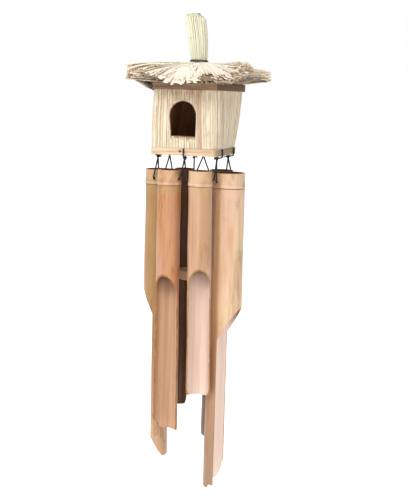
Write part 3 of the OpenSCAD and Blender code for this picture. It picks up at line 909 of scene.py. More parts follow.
def side_path(corners, inset, radii, side, share):
    """Points and outward directions along one side of a rounded square. Share runs 0 to 1
    from the middle of one rounded corner to the middle of the next."""
    a, b = corners[side], corners[(side + 1) % 4]
    along = unit(b - a)
    out = np.array([along[1], -along[0]])
    half = np.linalg.norm(b - a) / 2 - inset
    middle = (a + b) / 2 - out * inset
    ra, rb = radii[side], radii[(side + 1) % 4]
    eighth = TAU / 8
    total = 2 * half - ra - rb + (ra + rb) * eighth
    s = np.asarray(share, float) * total
    start_turn = np.clip(1 - s / (ra * eighth), 0, 1) * eighth
    end_turn = np.clip((s - total + rb * eighth) / (rb * eighth), 0, 1) * eighth
    straight = np.clip(s - ra * eighth, 0, 2 * half - ra - rb) - half + ra
    x = straight - ra * np.sin(start_turn) + rb * np.sin(end_turn)
    y = -ra * (1 - np.cos(start_turn)) - rb * (1 - np.cos(end_turn))
    turn = end_turn - start_turn
    points = middle + x[..., None] * along + y[..., None] * out
    normals = np.sin(turn)[..., None] * along + np.cos(turn)[..., None] * out
    return points, normals, total


WALL_T = 3.4 * MM
# How far the walls stand in from the edges of the base board and the top board.
WALL_FOOT_IN, WALL_TOP_IN = 1 * MM, 1.5 * MM
WALL_BOW = 1.1 * MM
# Corner radii of the walls and the boards, in the order of AROUND.
WALL_RADII = np.array([4, 14, 7, 6]) * MM
BASE_RADII = np.array([2.5, 9, 6, 5]) * MM
TOP_RADII = np.array([1.2, 1.2, 1.2, 1.2]) * MM
# The one rosy strip of the front wall: its place along the wall, and the seed of its tone.
ROSE_STRIP_AT = 0.76
ROSE_SEED = 0.97


def build_wall(place, side, door=None):
    """A wall of split reed strips, set edge to edge between the boards."""
    rng = np.random.default_rng(SEED + 10 + side)
    soup = Soup()
    low, high = box_of(place + "_wall")
    length = side_path(base_corners, WALL_FOOT_IN, WALL_RADII, side, 0)[2]
    widths = []
    while sum(widths) < length:
        widths.append(rng.choice([2.2, 3.0, 3.8, 5.2]) * MM * rng.uniform(0.85, 1.1))
    edges = np.concatenate([[0], np.cumsum(widths)]) / sum(widths)
    middles = (edges[1:] + edges[:-1]) / 2
    rose = int(np.argmin(np.abs(middles - ROSE_STRIP_AT))) if side == 0 else -1
    height = np.linspace(0, 1, 11)
    z = low[2] + (high[2] - low[2]) * height
    bow = WALL_BOW * np.sin(height * math.pi)
    cols = 5
    across = np.linspace(0, 1, cols)
    dome = 0.32 * MM * (1 - np.linspace(-1, 1, cols) ** 2)
    for i in range(len(widths)):
        gap = rng.uniform(0.04, 0.16) * MM / length
        share = np.linspace(edges[i] + gap, edges[i + 1] - gap, cols)
        proud = rng.uniform(-0.35, 0.35) * MM
        wave = wavy(height, rng) * 0.22 * MM
        p0, n0, _ = side_path(base_corners, WALL_FOOT_IN, WALL_RADII, side, share)
        p1, n1, _ = side_path(board_corners, WALL_TOP_IN, WALL_RADII, side, share)
        h = height[:, None, None]
        p = p0 * (1 - h) + p1 * h
        n = unit(n0 * (1 - h) + n1 * h)
        shift = proud + bow[:, None] + wave[:, None] + dome[None]
        outer = p + n * shift[..., None]
        inner = (p - n * WALL_T)[:, ::-1]
        ring = np.concatenate([outer, inner], 1)
        ring = np.concatenate([ring, np.broadcast_to(z[:, None, None], ring.shape[:2] + (1,))], 2)
        seed = ROSE_SEED if i == rose else rng.uniform(0, 0.9)
        soup.rings(ring, strand_marks(ring.shape[:2], seed, height[:, None], 0,
                                      np.concatenate([across, across[::-1]])))
    piece = soup.build(place + "_reeds", [REED], 40)
    if door:
        cut(piece, door)
    hand_over(piece, place + "_wall", "house")


DOOR_WIDER = 1.2 * MM
DOOR_LEFT = 0.6 * MM


def door_cutter():
    """The arched doorway as a solid, narrowing a little to its sill, and its middle."""
    pts = node_points("front_wall")
    wall_low, wall_high = box_of("front_wall")
    clear = 2 * MM
    hole = pts[(np.abs(pts[:, 0]) < 30 * MM) & (pts[:, 2] > wall_low[2] + clear)
               & (pts[:, 2] < wall_high[2] - clear)]
    left, right = hole[:, 0].min(), hole[:, 0].max()
    low, high = hole[:, 2].min(), hole[:, 2].max()
    r = (right - left) / 2 + DOOR_WIDER
    mid = (left + right) / 2 - DOOR_LEFT
    a = np.linspace(0, math.pi, 25)
    arch = np.stack([mid + r * np.cos(a), high - r + r * np.sin(a)], 1)
    foot = np.array([[mid - r + 3.0 * MM, low], [mid + r - 0.4 * MM, low]])
    outline = np.concatenate([arch, foot])
    sill = np.array([0.0] * len(arch) + [3.6 * MM] * 2)
    reach = 9 * MM
    rings = np.array([[[x, y, z + way * dip] for (x, z), dip in zip(outline, sill)]
                      for y, way in ((wall_low[1] - reach, -1), (wall_high[1] + reach, 1))])
    soup = Soup()
    soup.rings(rings, np.array([0.55, 0.3, 0.25, 0.5]))
    return soup.build("door_cutter", [REED]), mid


def drill_bit(ends, ring, material):
    """A round cutter, whose ring of points is carried from one end to the other."""
    bit = Soup()
    bit.rings(np.array([end + ring for end in ends]), np.zeros(4))
    return bit.build("drill", [material])


HOLE_R = 1.5 * MM
HOLE_ANGLES = spread(20)


def build_board(name, corners, radii, material, bevel, holes=()):
    """A sawn board with slightly worn edges, and its cord holes."""
    rng = np.random.default_rng(SEED + 30)
    soup = Soup()
    z0, z1 = (v[2] for v in box_of(name))
    sides = [side_path(corners, 0, radii, s, np.linspace(0, 1, 25)[:-1]) for s in range(4)]
    ring = np.concatenate([s[0] for s in sides])
    normal = np.concatenate([s[1] for s in sides])
    wear_and_side_shade = 0.18 * MM * wavy(np.arange(len(ring)) / len(ring), rng, 6, 2, 14)
    profile = [(-3.0 * bevel, 0), (-bevel, 0), (-0.3 * bevel, 0.3 * bevel), (0, bevel)]
    levels = ([(i, z0 + up) for i, up in profile]
              + [(0, z0 + (z1 - z0) * t) for t in (0.35, 0.65)]
              + [(i, z1 - up) for i, up in profile[::-1]])
    rings = []
    for inset, z in levels:
        p = ring + normal * (inset + wear_and_side_shade - 0.15 * MM)[:, None]
        rings.append(np.concatenate([p, np.full((len(p), 1), z)], 1))
    soup.rings(np.array(rings), np.array([0.5, 0.5, 0.0, 0.5]))
    piece = soup.build("visual_" + name, [material], 40)
    circle = HOLE_R * np.stack([np.cos(HOLE_ANGLES), np.sin(HOLE_ANGLES), 0 * HOLE_ANGLES], 1)
    ends = (z0 - 2 * MM, z1 + 2 * MM)
    cutters = [drill_bit([np.array([x, y, z]) for z in ends], circle, material)
               for x, y in holes]
    if cutters:
        cut(piece, *cutters)
    hand_over(piece, name, "house")


# ---------------------------------------------------------------- cords below the house

def hinge(name):
    """A joint's middle, and the level direction along its axis."""
    joint = joints[name]
    return np.array(joint["pos_m"]), -np.array(joint["axis"][:2])


def tie_places():
    """The places of the six ties' knots, and their height."""
    knot_z = joints["right_cord_swing"]["pos_m"][2]
    pts = node_points("edge_ties")
    near = pts[np.abs(pts[:, 2] - knot_z) < 1.0 * MM][:, :2]
    spots = []
    for side in SIDES:
        centre, run = hinge(side + "_cord_swing")
        line = (near - centre[:2]) @ np.array([run[1], -run[0]])
        along = (near[np.abs(line) < 1.2 * MM] - centre[:2]) @ run
        spots.append(centre[:2] + run * (along.min() + 2.2 * MM))
    return spots, knot_z


TIE_HOLE_IN = 8 * MM


def on_y_edge(y):
    """Whether a tie at this y hangs from the front or back edge of the board."""
    return abs(y) > 35 * MM


def build_edge_ties(places, knot_z):
    """Cord looped round the board's edge at six places, knotted below with two tails."""
    rng = np.random.default_rng(SEED + 50)
    soup = Soup()
    half = base_high[0]
    gap = 0.2 * MM
    for x, y in places:
        out = np.array([0, np.sign(y)] if on_y_edge(y) else [np.sign(x), 0])
        flat = np.array([x, y]) * (1 - np.abs(out))
        low, high = base_low[2] - CORD_R - gap, base_high[2] - CORD_R - gap

        def at(reach, z, aside=0.0):
            p = flat + out * reach + np.array([-out[1], out[0]]) * aside
            return np.array([p[0], p[1], z])

        hole, edge = half - TIE_HOLE_IN, half + CORD_R + gap
        reach = np.array([x, y]) @ out
        knot = at(reach, knot_z)
        add_cord(soup, [knot + [0, 0, 1 * MM], at(hole, low), at(hole, (low + high) / 2),
                        at(hole + 0.5 * MM, high)], seed=0.3)
        add_cord(soup, [at(hole, high), at(half - 2 * MM, high), at(edge - 0.6 * MM, high),
                        at(edge, high - 1.2 * MM), at(edge, (low + high) / 2, 0.2 * MM),
                        at(edge - 0.2 * MM, low + 0.8 * MM), at(edge - 1.5 * MM, low - 0.2 * MM),
                        knot + [0, 0, 0.6 * MM]], seed=0.4)
        turn = rng.uniform(0, TAU)
        add_cord(soup, knot_path(knot, 2.1 * MM, turn), 0.85 * MM, seed=0.6)
        add_cord(soup, knot_path(knot + [0.3 * MM, 0.2 * MM, 0.9 * MM], 1.8 * MM, turn + 2),
                 0.8 * MM)
        for way in (-1, 1):
            long = rng.uniform(3.5, 6.5) * MM
            tip = at(reach - long * rng.uniform(0.4, 0.9), knot_z - rng.uniform(-1.5, 1.2) * MM,
                     way * long * 0.7)
            add_cord(soup, [knot, (knot + tip) / 2 + [0, 0, 0.6 * MM], tip], 0.75 * MM, seed=0.7)
    piece = soup.build("board_edge_ties", [CORD], 60)
    hand_over(piece, "edge_ties", "house")


def build_tube_cord(side, knot_a, knot_b, knot_z):
    """The cord that carries one tube, from one tie through its holes to the next."""
    centre, run = hinge(side + "_tube_rock")
    low = node_points("cord_" + side)
    low = low[np.abs(low[:, 2] - centre[2]) < 1.1 * MM]
    reach = ((low[:, :2] - centre[:2]) @ run).max() - CORD_R
    along = np.append(run, 0.0)

    def half(knot, out):
        """From a knot down to the tube's edge, round the edge and into the hole."""
        edge = centre + out * reach
        return [knot - UP * 0.6 * MM, knot * 0.55 + edge * 0.45,
                edge + UP * 3 * MM + out * 0.2 * MM, edge - out * 0.5 * MM,
                edge - out * 3.5 * MM]

    first = half(np.append(knot_a, knot_z), -along)
    last = half(np.append(knot_b, knot_z), along)
    soup = Soup()
    add_cord(soup, first + [centre] + last[::-1])
    piece = soup.build("carry_cord_" + side, [CORD], 60)
    hand_over(piece, "cord_" + side, "cord_" + side + "_line")


def build_clapper_cords():
    """The clapper's anchor, its knot under the board, and its long cord."""
    high = box_of("clapper_anchor")[1]
    knot_z = joints["clapper_side_swing"]["pos_m"][2]
    soup = Soup()
    add_cord(soup, [[0, 0, z] for z in (knot_z + 1.6 * MM, (knot_z + high[2]) / 2,
                                        high[2] - 1 * MM)])
    add_cord(soup, knot_path([0, 0, high[2] - 2 * MM], 2.2 * MM, 0.3))
    piece = soup.build("clapper_anchor_cord", [CORD], 60)
    hand_over(piece, "clapper_anchor", "house")

    soup = Soup()
    add_cord(soup, knot_path([0, 0, knot_z], 2.3 * MM, 1.0))
    add_cord(soup, [[0, 0, knot_z], [2.6 * MM, -0.6 * MM, knot_z - 0.2 * MM],
                    [4.6 * MM, -1.0 * MM, knot_z - 1.3 * MM]], 0.85 * MM)
    piece = soup.build("clapper_top_knot", [CORD], 60)
    hand_over(piece, "clapper_knot", "clapper_gimbal")

    low, high = box_of("clapper_cord")
    soup = Soup()
    add_cord(soup, [[0, 0, z] for z in (low[2] + 2 * MM, (low[2] + high[2]) / 2,
                                        knot_z - 1.2 * MM)])
    add_cord(soup, knot_path([0, 0, low[2] + 2.1 * MM], 2.2 * MM, 0.2))
    add_cord(soup, [[0, 0, low[2] + 2 * MM], [1.5 * MM, 0.6 * MM, low[2] - 1 * MM],
                    [2.2 * MM, 1.4 * MM, low[2] - 4 * MM]], 0.8 * MM)
    piece = soup.build("clapper_long_cord", [CORD], 60)
    hand_over(piece, "clapper_cord", "clapper_line")


def build_clapper():
    """A sawn wooden disc with worn edges and a hole for its cord."""
    rng = np.random.default_rng(SEED + 70)
    low, high = box_of("clapper")
    r, hole, c = high[0], 1.4 * MM, 0.8 * MM
    profile = [(hole, low[2] + 0.5 * MM), (hole + 0.6 * MM, low[2]), (r * 0.6, low[2]),
               (r - c, low[2]), (r - 0.25 * c, low[2] + 0.3 * c), (r, low[2] + c),
               (r, (low[2] + high[2]) / 2), (r, high[2] - c), (r - 0.25 * c, high[2] - 0.3 * c),
               (r - c, high[2]), (r * 0.6, high[2]), (hole + 0.6 * MM, high[2]),
               (hole, high[2] - 0.5 * MM)]
    a = spread(72)
    uneven = 1 + 0.006 * wavy(a / TAU, rng, 6, 1, 9)
    rings = []
    for radius, z in profile:
        rr = radius * (uneven if radius > 5 * MM else np.ones(len(a)))
        rings.append(np.stack([rr * np.cos(a), rr * np.sin(a), np.full(len(a), z)], 1))
    soup = Soup()
    soup.rings(np.array(rings)[:, ::-1], np.array([0.5, 0.5, 0, 0.5]), looped=True)
    piece = soup.build("clapper_disc_wood", [clapper_look()], 35)
    hand_over(piece, "clapper", "clapper_disc")


# ---------------------------------------------------------------- bamboo tubes

def measure_tube(side):
    """Reads how a tube hangs and is cut from its CAD node and its rock joint."""
    pivot, run = hinge(side + "_tube_rock")
    out = np.array([run[1], -run[0]])
    p = node_points("tube_" + side) - pivot
    x, y, z = p[:, :2] @ out, p[:, :2] @ run, p[:, 2]
    rim_ring = z > z.max() - 1 * MM
    tilt = math.asin(np.polyfit(x[rim_ring], z[rim_ring], 1)[0])
    x, z = x * math.cos(tilt) + z * math.sin(tilt), z * math.cos(tilt) - x * math.sin(tilt)
    shift = (x[rim_ring].max() + x[rim_ring].min()) / 2
    x = x - shift
    r, rim, tip = np.hypot(x, y), z.max(), z.min()
    top_r = r[z > rim - 0.5 * MM].max()
    low_r = r[z < tip + 40 * MM].max()
    ridge = z[(r > top_r + 0.6 * MM) & (z > rim - 30 * MM)]
    low = z < rim - (rim - tip) * 0.7
    turns = np.radians(np.arange(-30, 30.5, 0.5))
    reach = [(x[low] * math.cos(t) + y[low] * math.sin(t)).max() for t in turns]
    turn = turns[int(np.argmin(reach))]
    x, y = x * math.cos(turn) + y * math.sin(turn), y * math.cos(turn) - x * math.sin(turn)
    cut_x = x[low].max()
    flat = x[z < tip + 0.3 * MM].max()
    skin_r = np.interp(z, [tip, rim], [low_r, top_r])
    scoop = z[(z < rim - 40 * MM) & (x > 0.985 * skin_r)].min()
    return {"pivot": pivot, "out": out, "run": run, "tilt": tilt, "turn": turn,
            "shift": shift, "rim": rim, "tip": tip, "top_r": top_r, "low_r": low_r,
            "cut_x": cut_x, "flat": flat, "scoop": scoop, "node_z": ridge.mean()}


def bamboo_tube(side, s, materials, look, seed):
    """A hollow bamboo tube: whole at its top, cut on a slant, then half open to its tip.

    Columns run round the tube and rows run down it. The columns at the two straight cut
    edges are shared, so the wall closes without gaps. Angles start from the scoop's middle
    and heights from the cord holes."""
    rng = np.random.default_rng(seed)
    wall = look["wall"] * MM
    rim, tip, cut_x = s["rim"], s["tip"], s["cut_x"]
    length = rim - tip
    open_cols, back_cols = 28, 44
    k = open_cols + back_cols
    wave = rng.uniform(0, TAU, 4)
    bow = look["bow"] * MM
    slope = math.tan(math.radians(look["slant"]))

    def radius(z, angle):
        t = np.clip((rim - z) / length, 0, 1)
        base = s["top_r"] + (s["low_r"] - s["top_r"]) * t
        base = base * (1 + look["oval"] * np.cos(2 * (angle - wave[0])))
        above = z - s["node_z"]
        ridge = (0.80 * np.exp(-(above / (1.0 * MM)) ** 2)
                 - 0.40 * np.exp(-((above + 2.2 * MM) / (0.8 * MM)) ** 2)
                 + 0.35 * np.exp(-((above + 1 * MM) / (6 * MM)) ** 2)
                 + 0.20 * np.exp(-((above - 2.6 * MM) / (1.3 * MM)) ** 2))
        swell = (0.22 * np.sin(t * 9 + wave[1] + 2 * angle)
                 + 0.16 * np.sin(t * 21 + wave[2] - angle)
                 + 0.05 * np.sin(11 * angle + wave[3] + 3 * t))
        return base + (ridge + swell * smoothstep(t, 0.02, 0.15)) * MM - 0.15 * MM

    def columns(r):
        """The angle of each column from the middle of the scoop, for a wall this wide."""
        edge = math.acos(np.clip(cut_x / r, -1, 1))
        front = np.linspace(-edge, edge, open_cols + 1)
        back = np.linspace(edge, TAU - edge, back_cols + 1)[1:-1]
        return np.concatenate([front, back])

    def place(x, y, z):
        """Turns, tilts and moves a point of the upright tube to where it hangs."""
        t, a = s["turn"], s["tilt"]
        x, y = x * math.cos(t) - y * math.sin(t), x * math.sin(t) + y * math.cos(t)
        fall = np.clip((rim - z) / length, 0, 1)
        x = x + s["shift"] + bow * np.sin(fall * math.pi)
        y = y + look["sweep"] * MM * fall
        x, z = x * math.cos(a) - z * math.sin(a), z * math.cos(a) + x * math.sin(a)
        xy = x[..., None] * s["out"] + y[..., None] * s["run"]
        return s["pivot"] + np.concatenate([xy, z[..., None]], -1)

    turn_z = s["scoop"] - (s["low_r"] - cut_x) * slope

    def slant(x, y):
        return s["scoop"] - (s["low_r"] - x) * slope + 0.3 * MM * np.sin(y * 900 + wave[1])

    shares, heights = zip(*look["end"])

    def end(x, y):
        """Height of the tube's end: flat at its inner side, then rising along a broken
        line to the straight edges."""
        share = np.clip((x - s["flat"]) / (cut_x - s["flat"]), 0, 1)
        most = np.where(y < 0, *look["most"])
        rise = np.minimum(np.interp(share, shares, heights), most) * look["rise"] * MM
        rough = 0.22 * np.sin(y * 560 + wave[2]) + 0.12 * np.sin(y * 1500 + wave[3])
        return tip + rise + (0.4 + rough + look["short"]) * MM

    angles_out, angles_in = columns(s["low_r"]), columns(s["low_r"] - wall)
    top_rows = np.concatenate([np.linspace(0, 0.035, 4, endpoint=False),
                               np.linspace(0.035, 0.15, 30, endpoint=False),
                               np.linspace(0.15, 1, 40)])

    def upper(angles, thin, start, rows):
        """Row heights from a start down to the slant, or to the top of the straight edges."""
        r = s["low_r"] * 0.985 - thin
        last = np.where(np.arange(k) <= open_cols,
                        slant(r * np.cos(angles), r * np.sin(angles)), turn_z)
        last[[0, open_cols]] = turn_z
        return start + (last[None] - start) * rows[:, None]

    def skin(z, angles, thin):
        a = np.broadcast_to(angles, z.shape)
        r = radius(z, a) - thin
        return place(r * np.cos(a), r * np.sin(a), z)

    outer_z = upper(angles_out, 0, rim, top_rows)
    floor_z, ceiling_z = s["node_z"] + 1.8 * MM, s["node_z"] - 1.8 * MM
    cup_z = np.linspace(rim, floor_z, 6)[:, None] * np.ones(k)
    inner_z = upper(angles_in, wall, ceiling_z, np.linspace(0, 1, 36))
    points, faces, slots, total = [], [], [], [0]

    def grid(p, slot, closed=True):
        start = total[0]
        n, width = p.shape[:2]
        points.append(p.reshape(-1, 3))
        total[0] += n * width
        for i in range(n - 1):
            for j in range(width if closed else width - 1):
                a, b = start + i * width, start + (i + 1) * width
                faces.append([a + j, b + j, b + (j + 1) % width, a + (j + 1) % width])
                slots.append(slot)
        return start

    def stitch(a, b, slot):
        """Joins two rows of point numbers with a band of faces."""
        for j in range(len(a) - 1):
            faces.append([a[j], b[j], b[j + 1], a[j + 1]])
            slots.append(slot)

    def disc(first, z):
        """Closes a ring with the bamboo's own floor, at its node."""
        middle = total[0]
        points.append(place(np.zeros(1), np.zeros(1), np.full(1, z)))
        total[0] += 1
        for j in range(k):
            faces.append([first + j, first + (j + 1) % k, middle])
            slots.append(1)

    outer = grid(skin(outer_z, angles_out, 0), 0)
    cup = grid(skin(cup_z, angles_in, wall), 1)
    inner = grid(skin(inner_z, angles_in, wall), 1)
    loop = list(range(k)) + [0]
    stitch([cup + j for j in loop], [outer + j for j in loop], 2)
    disc(cup + (len(cup_z) - 1) * k, floor_z - 0.5 * MM)
    disc(inner, ceiling_z + 0.5 * MM)

    # The half-open length: columns from one straight edge round the back to the other.
    back = list(range(open_cols, k)) + [0]
    fall = np.linspace(0, 1, 46)[1:]
    lap = np.append(np.zeros(len(back) - 1), TAU)

    def lower(angles, thin):
        around = angles[back] + lap
        r = s["low_r"] * 0.985 - thin
        stop = end(r * np.cos(around), r * np.sin(around))
        return skin(turn_z + (stop[None] - turn_z) * fall[:, None], around, thin)

    width, rows = len(back), len(fall)
    low_out = grid(lower(angles_out, 0), 0, closed=False)
    low_in = grid(lower(angles_in, wall), 1, closed=False)
    last_out = outer + (len(top_rows) - 1) * k
    last_in = inner + (len(inner_z) - 1) * k
    stitch([last_out + j for j in back], [low_out + j for j in range(width)], 0)
    stitch([last_in + j for j in back], [low_in + j for j in range(width)], 1)
    stitch([low_out + (rows - 1) * width + j for j in range(width)],
           [low_in + (rows - 1) * width + j for j in range(width)], 2)
    front = list(range(open_cols + 1))
    stitch([last_out + j for j in front], [last_in + j for j in front], 2)
    for col, edge in ((0, open_cols), (width - 1, 0)):
        stitch([last_out + edge] + [low_out + r * width + col for r in range(rows)],
               [last_in + edge] + [low_in + r * width + col for r in range(rows)], 2)

    soup = Soup()
    soup.add(np.concatenate(points), faces, np.array([0.5, 0.5, 0.0, 0.5]), slots)
    piece = soup.build("bamboo_" + side, materials, 38)
    along = np.append(s["run"], 0) * 30 * MM
    circle = HOLE_R * (np.cos(HOLE_ANGLES)[:, None] * np.append(s["out"], 0)
                       + np.sin(HOLE_ANGLES)[:, None] * UP)
    cut(piece, drill_bit([s["pivot"] - along, s["pivot"] + along], circle, materials[2]))
    hand_over(piece, "tube_" + side, "tube_" + side + "_body")


# The line of a tube's end, from its flat tip (0) out to a straight edge (1).
SLOPED_END = [(0, 0), (1, 1)]
CORNER_END = [(0, 0), (0.33, 0.03), (1, 1)]
BROKEN_END = [(0, 0), (0.42, 0.02), (0.52, 0.2), (0.60, 0.22), (1, 1)]
STEPPED_END = [(0, 0), (0.30, 0.35), (0.34, 0.52), (1, 1)]

# The one tube with a branch scar under its node.
SCARRED_SIDE = "front_left"

# Each tube's skin tones (pale, warm, rose, dark, and the tone near its foot), the tones of
# its inside (light, mid, shaded), and the tone of painted shade on its side toward the middle
# if it has one. Then the slope of its slanting cut in degrees, how oval it is, its wall (mm),
# and how far it bows outward and leans sideways at its foot (mm). Then the line of its end,
# how high that rises (mm), the most of the rise that its two sides reach, and how much the
# tip is cut short (mm). Last, how strong the band under its node is, and its tone.
# What most of the tubes share.
PLAIN_TUBE = {"slant": 60, "oval": 0.010, "bow": 0.4, "sweep": 0.0, "most": (1, 1), "short": 0}
TUBE_LOOKS = {
    "front_right": {
        "skin": ((206, 166, 138), (190, 144, 102), (212, 172, 156), (136, 100, 74),
                 (206, 166, 144)),
        "inside": ((230, 206, 190), (214, 184, 166), (132, 92, 66)),
        "wall": 1.7, "bow": 0.5, "sweep": 5.0, "end": CORNER_END, "rise": 16,
        "band": (0.6, 194, 160, 110)},
    "right": {
        "skin": ((226, 194, 154), (206, 146, 94), (216, 176, 150), (142, 112, 86), (164, 124, 96)),
        "inside": ((250, 230, 216), (236, 208, 192), (140, 108, 88)),
        "slant": 58, "oval": 0.008, "wall": 2.4, "bow": 0.6, "end": BROKEN_END, "rise": 28,
        "most": (0.24, 1), "short": 2.6, "band": (0.9, 222, 180, 154)},
    "back_right": {
        "skin": ((198, 158, 118), (184, 138, 92), (200, 156, 130), (122, 90, 62), (190, 150, 118)),
        # Painted shade: this tube's inside tones are darkened, and its inner tone darkens its side
        # toward the middle.
        "inside": ((176, 140, 110), (150, 114, 86), (96, 66, 44)),
        "inner": (136, 98, 70), "wall": 2.4, "end": STEPPED_END, "rise": 26,
        "band": (0.4, 180, 146, 100)},
    "back_left": {
        "skin": ((186, 144, 102), (172, 124, 76), (190, 144, 118), (112, 82, 54), (180, 138, 100)),
        # Painted shade: this tube's inside tones are darkened, and its inner tone darkens its side
        # toward the middle.
        "inside": ((128, 90, 58), (104, 68, 40), (66, 40, 22)),
        "inner": (84, 52, 26), "wall": 2.2, "end": STEPPED_END, "rise": 22,
        "band": (0.4, 172, 138, 92)},
    "left": {
        "skin": ((180, 138, 92), (158, 118, 62), (190, 132, 102), (108, 78, 48), (212, 170, 136)),
        "inside": ((222, 184, 154), (200, 158, 128), (130, 92, 64)),
        "slant": 62, "wall": 2.3, "bow": 0.3, "end": SLOPED_END, "rise": 29, "short": 3,
        "band": (0.5, 172, 142, 90)},
    "front_left": {
        "skin": ((194, 156, 112), (192, 124, 68), (196, 148, 126), (112, 78, 50), (186, 142, 108)),
        "inside": ((206, 168, 138), (184, 142, 108), (106, 70, 44)),
        "oval": 0.012, "wall": 1.7, "sweep": 2.0, "end": STEPPED_END, "rise": 16,
        "most": (1, 0.3), "band": (0.7, 182, 150, 98)}
}


def build_tubes():
    """The six tubes, each with its own skin, inside and sawn edge."""
    for i, side in enumerate(SIDES):
        look = {**PLAIN_TUBE, **TUBE_LOOKS[side]}
        s = measure_tube(side)
        node_z = s["pivot"][2] + s["node_z"]
        scar = None
        if side == SCARRED_SIDE:
            turn = math.radians(12)
            spoke = s["out"] * math.cos(turn) - s["run"] * math.sin(turn)
            scar = (*(s["pivot"][:2] + spoke * s["top_r"]), node_z - 4 * MM)
        tones = tuple(srgb(*c) for c in look["skin"])
        light, mid, dark = (srgb(*c) for c in look["inside"])
        centre = s["pivot"][:2] + s["out"] * s["shift"]
        scoop_z = s["pivot"][2] + s["scoop"]
        skin = bamboo_skin("bamboo_skin_" + side, centre, node_z, scoop_z, tones, 0.37 * i,
                           look["band"], scar, look.get("inner") and srgb(*look["inner"]))
        inside = bamboo_inside("bamboo_inside_" + side, light, mid, dark, i, scoop_z)
        edge = bamboo_cut("bamboo_edge_" + side, tones[1], tones[3])
        bamboo_tube(side, s, [skin, inside, edge], look, SEED + 90 + i)


# ---------------------------------------------------------------- floor, light and camera

FLOOR_BELOW = 0.06
FLOOR_R = 9.0
WORLD_LIGHT = 0.29


def build_stage():
    """A wide white floor well below the chime, glowing a little more away from it, and a
    white backdrop that lights the scene less than it shows."""
    floor_z = cad_box[0][2] - FLOOR_BELOW
    rim = spread(64)
    mesh = bpy.data.meshes.new("floor")
    mesh.from_pydata([(FLOOR_R * math.cos(t), FLOOR_R * math.sin(t), floor_z) for t in rim],
                     [], [list(range(len(rim)))])
    look = Look("floor_white", 0.9)
    speck = look.noise((40, 40, 40), 3, 0.5)
    x, y, _ = look.xyz()
    fade = look.ramp(look.over(look.far(x, y), FLOOR_R), [(0.03, 0.62), (0.12, 1.0)])
    look.bsdf.inputs["Emission Color"].default_value = (1, 1, 1, 1)
    look.link(fade, look.bsdf.inputs["Emission Strength"])
    mesh.materials.append(look.finish(look.ramp(speck, [(0.3, srgb(246, 246, 245)),
                                                        (0.7, srgb(252, 252, 251))]), 0.9, 0.1))
    floor = bpy.data.objects.new("floor", mesh)
    bpy.context.scene.collection.objects.link(floor)

    world = bpy.data.worlds.new("studio")
    bpy.context.scene.world = world
    world.use_nodes = True
    tree = world.node_tree
    back = tree.nodes["Background"]
    path = tree.nodes.new("ShaderNodeLightPath")
    pick = tree.nodes.new("ShaderNodeMix")
    pick.data_type = "FLOAT"
    tree.links.new(path.outputs["Is Camera Ray"], pick.inputs[0])
    pick.inputs[2].default_value = WORLD_LIGHT
    pick.inputs[3].default_value = 1.0
    tree.links.new(pick.outputs[0], back.inputs["Strength"])
    back.inputs["Color"].default_value = (1, 1, 1, 1)


# Each light's azimuth from the camera's and its elevation in degrees, its distance from the
# middle of the chime, its size and its power.
LIGHTS = {"key": (-34, 46, 2.2, 0.9, 27), "fill": (20, 10, 2.4, 1.6, 5.5),
          "top": (-10, 78, 1.9, 1.0, 9)}


def add_light(name, azimuth, elevation, distance, size, power):
    """An area light aimed at the middle of the chime."""
    a, e = math.radians(azimuth), math.radians(elevation)
    away = Vector((math.sin(a) * math.cos(e), -math.cos(a) * math.cos(e), math.sin(e)))
    aim = Vector((0, 0, (cad_box[0][2] + cad_box[1][2]) / 2))
    data = bpy.data.lights.new(name, "AREA")
    data.shape, data.size, data.energy = "DISK", size, power
    light = bpy.data.objects.new(name, data)
    light.location = aim + away * distance
    light.rotation_euler = away.to_track_quat("Z", "Y").to_euler()
    bpy.context.scene.collection.objects.link(light)


CAMERA_AZIMUTH = 17.0
CAMERA_PITCH = 10.0
CAMERA_ROLL = 1.75
CAMERA_AWAY = 1.123
CAMERA_ASIDE = 0.0163
CAMERA_Z = -0.101
CAMERA_LENS = 61.92


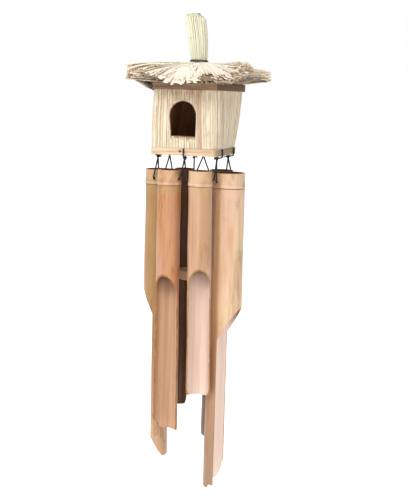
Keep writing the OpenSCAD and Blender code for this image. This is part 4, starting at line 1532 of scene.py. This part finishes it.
def build_camera():
    """A level stance at the height of the house, tipped down to the middle of the chime."""
    a, p, r = (math.radians(v) for v in (CAMERA_AZIMUTH, CAMERA_PITCH, CAMERA_ROLL))
    right = Vector((math.cos(a), math.sin(a), 0))
    toward = Vector((math.sin(a), -math.cos(a), 0))
    up = Vector((0, 0, 1))
    look = -toward * math.cos(p) - up * math.sin(p)
    over = up * math.cos(p) - toward * math.sin(p)
    x_axis = right * math.cos(r) + over * math.sin(r)
    y_axis = over * math.cos(r) - right * math.sin(r)
    data = bpy.data.cameras.new("camera")
    data.lens, data.sensor_width = CAMERA_LENS, 36
    data.clip_start, data.clip_end = 0.05, 50
    camera = bpy.data.objects.new("camera", data)
    m = Matrix((x_axis, y_axis, -look)).transposed().to_4x4()
    m.translation = toward * CAMERA_AWAY + right * CAMERA_ASIDE + up * CAMERA_Z
    camera.matrix_world = m
    bpy.context.scene.collection.objects.link(camera)
    bpy.context.scene.camera = camera
    bpy.context.scene.view_settings.view_transform = "Standard"


build_roof()
build_bundle()
build_neck_tie()
build_hanging_cord()

door_solid, door_x = door_cutter()
for i, place in enumerate(("front", "right", "back", "left")):
    build_wall(place, i, door_solid if place == "front" else None)

places, knot_height = tie_places()
knot_spot = (door_x - 2 * MM, base_low[1], base_high[2] - 4 * MM)
# The last tone is the painted shade on the base board's right-hand side.
BASE_WOOD = board_look("base_board_wood", srgb(224, 202, 170), srgb(208, 170, 138),
                       srgb(160, 120, 86), srgb(146, 128, 104), [(knot_spot, 2.6 * MM)])
tie_holes = [(0.0, 0.0)]
for tx, ty in places:
    if on_y_edge(ty):
        tie_holes.append((tx, math.copysign(base_high[1] - TIE_HOLE_IN, ty)))
    else:
        tie_holes.append((math.copysign(base_high[0] - TIE_HOLE_IN, tx), ty))
build_board("base_board", base_corners, BASE_RADII, BASE_WOOD, 1.2 * MM,
            tie_holes)
build_board("top_board", board_corners, TOP_RADII, TOP_WOOD, 0.7 * MM)

build_edge_ties(places, knot_height)
for i, side in enumerate(SIDES):
    build_tube_cord(side, places[i], places[(i + 1) % 6], knot_height)
build_clapper_cords()
build_clapper()
build_tubes()

build_stage()
for light, (turn, *rest) in LIGHTS.items():
    add_light(light, CAMERA_AZIMUTH + turn, *rest)
build_camera()
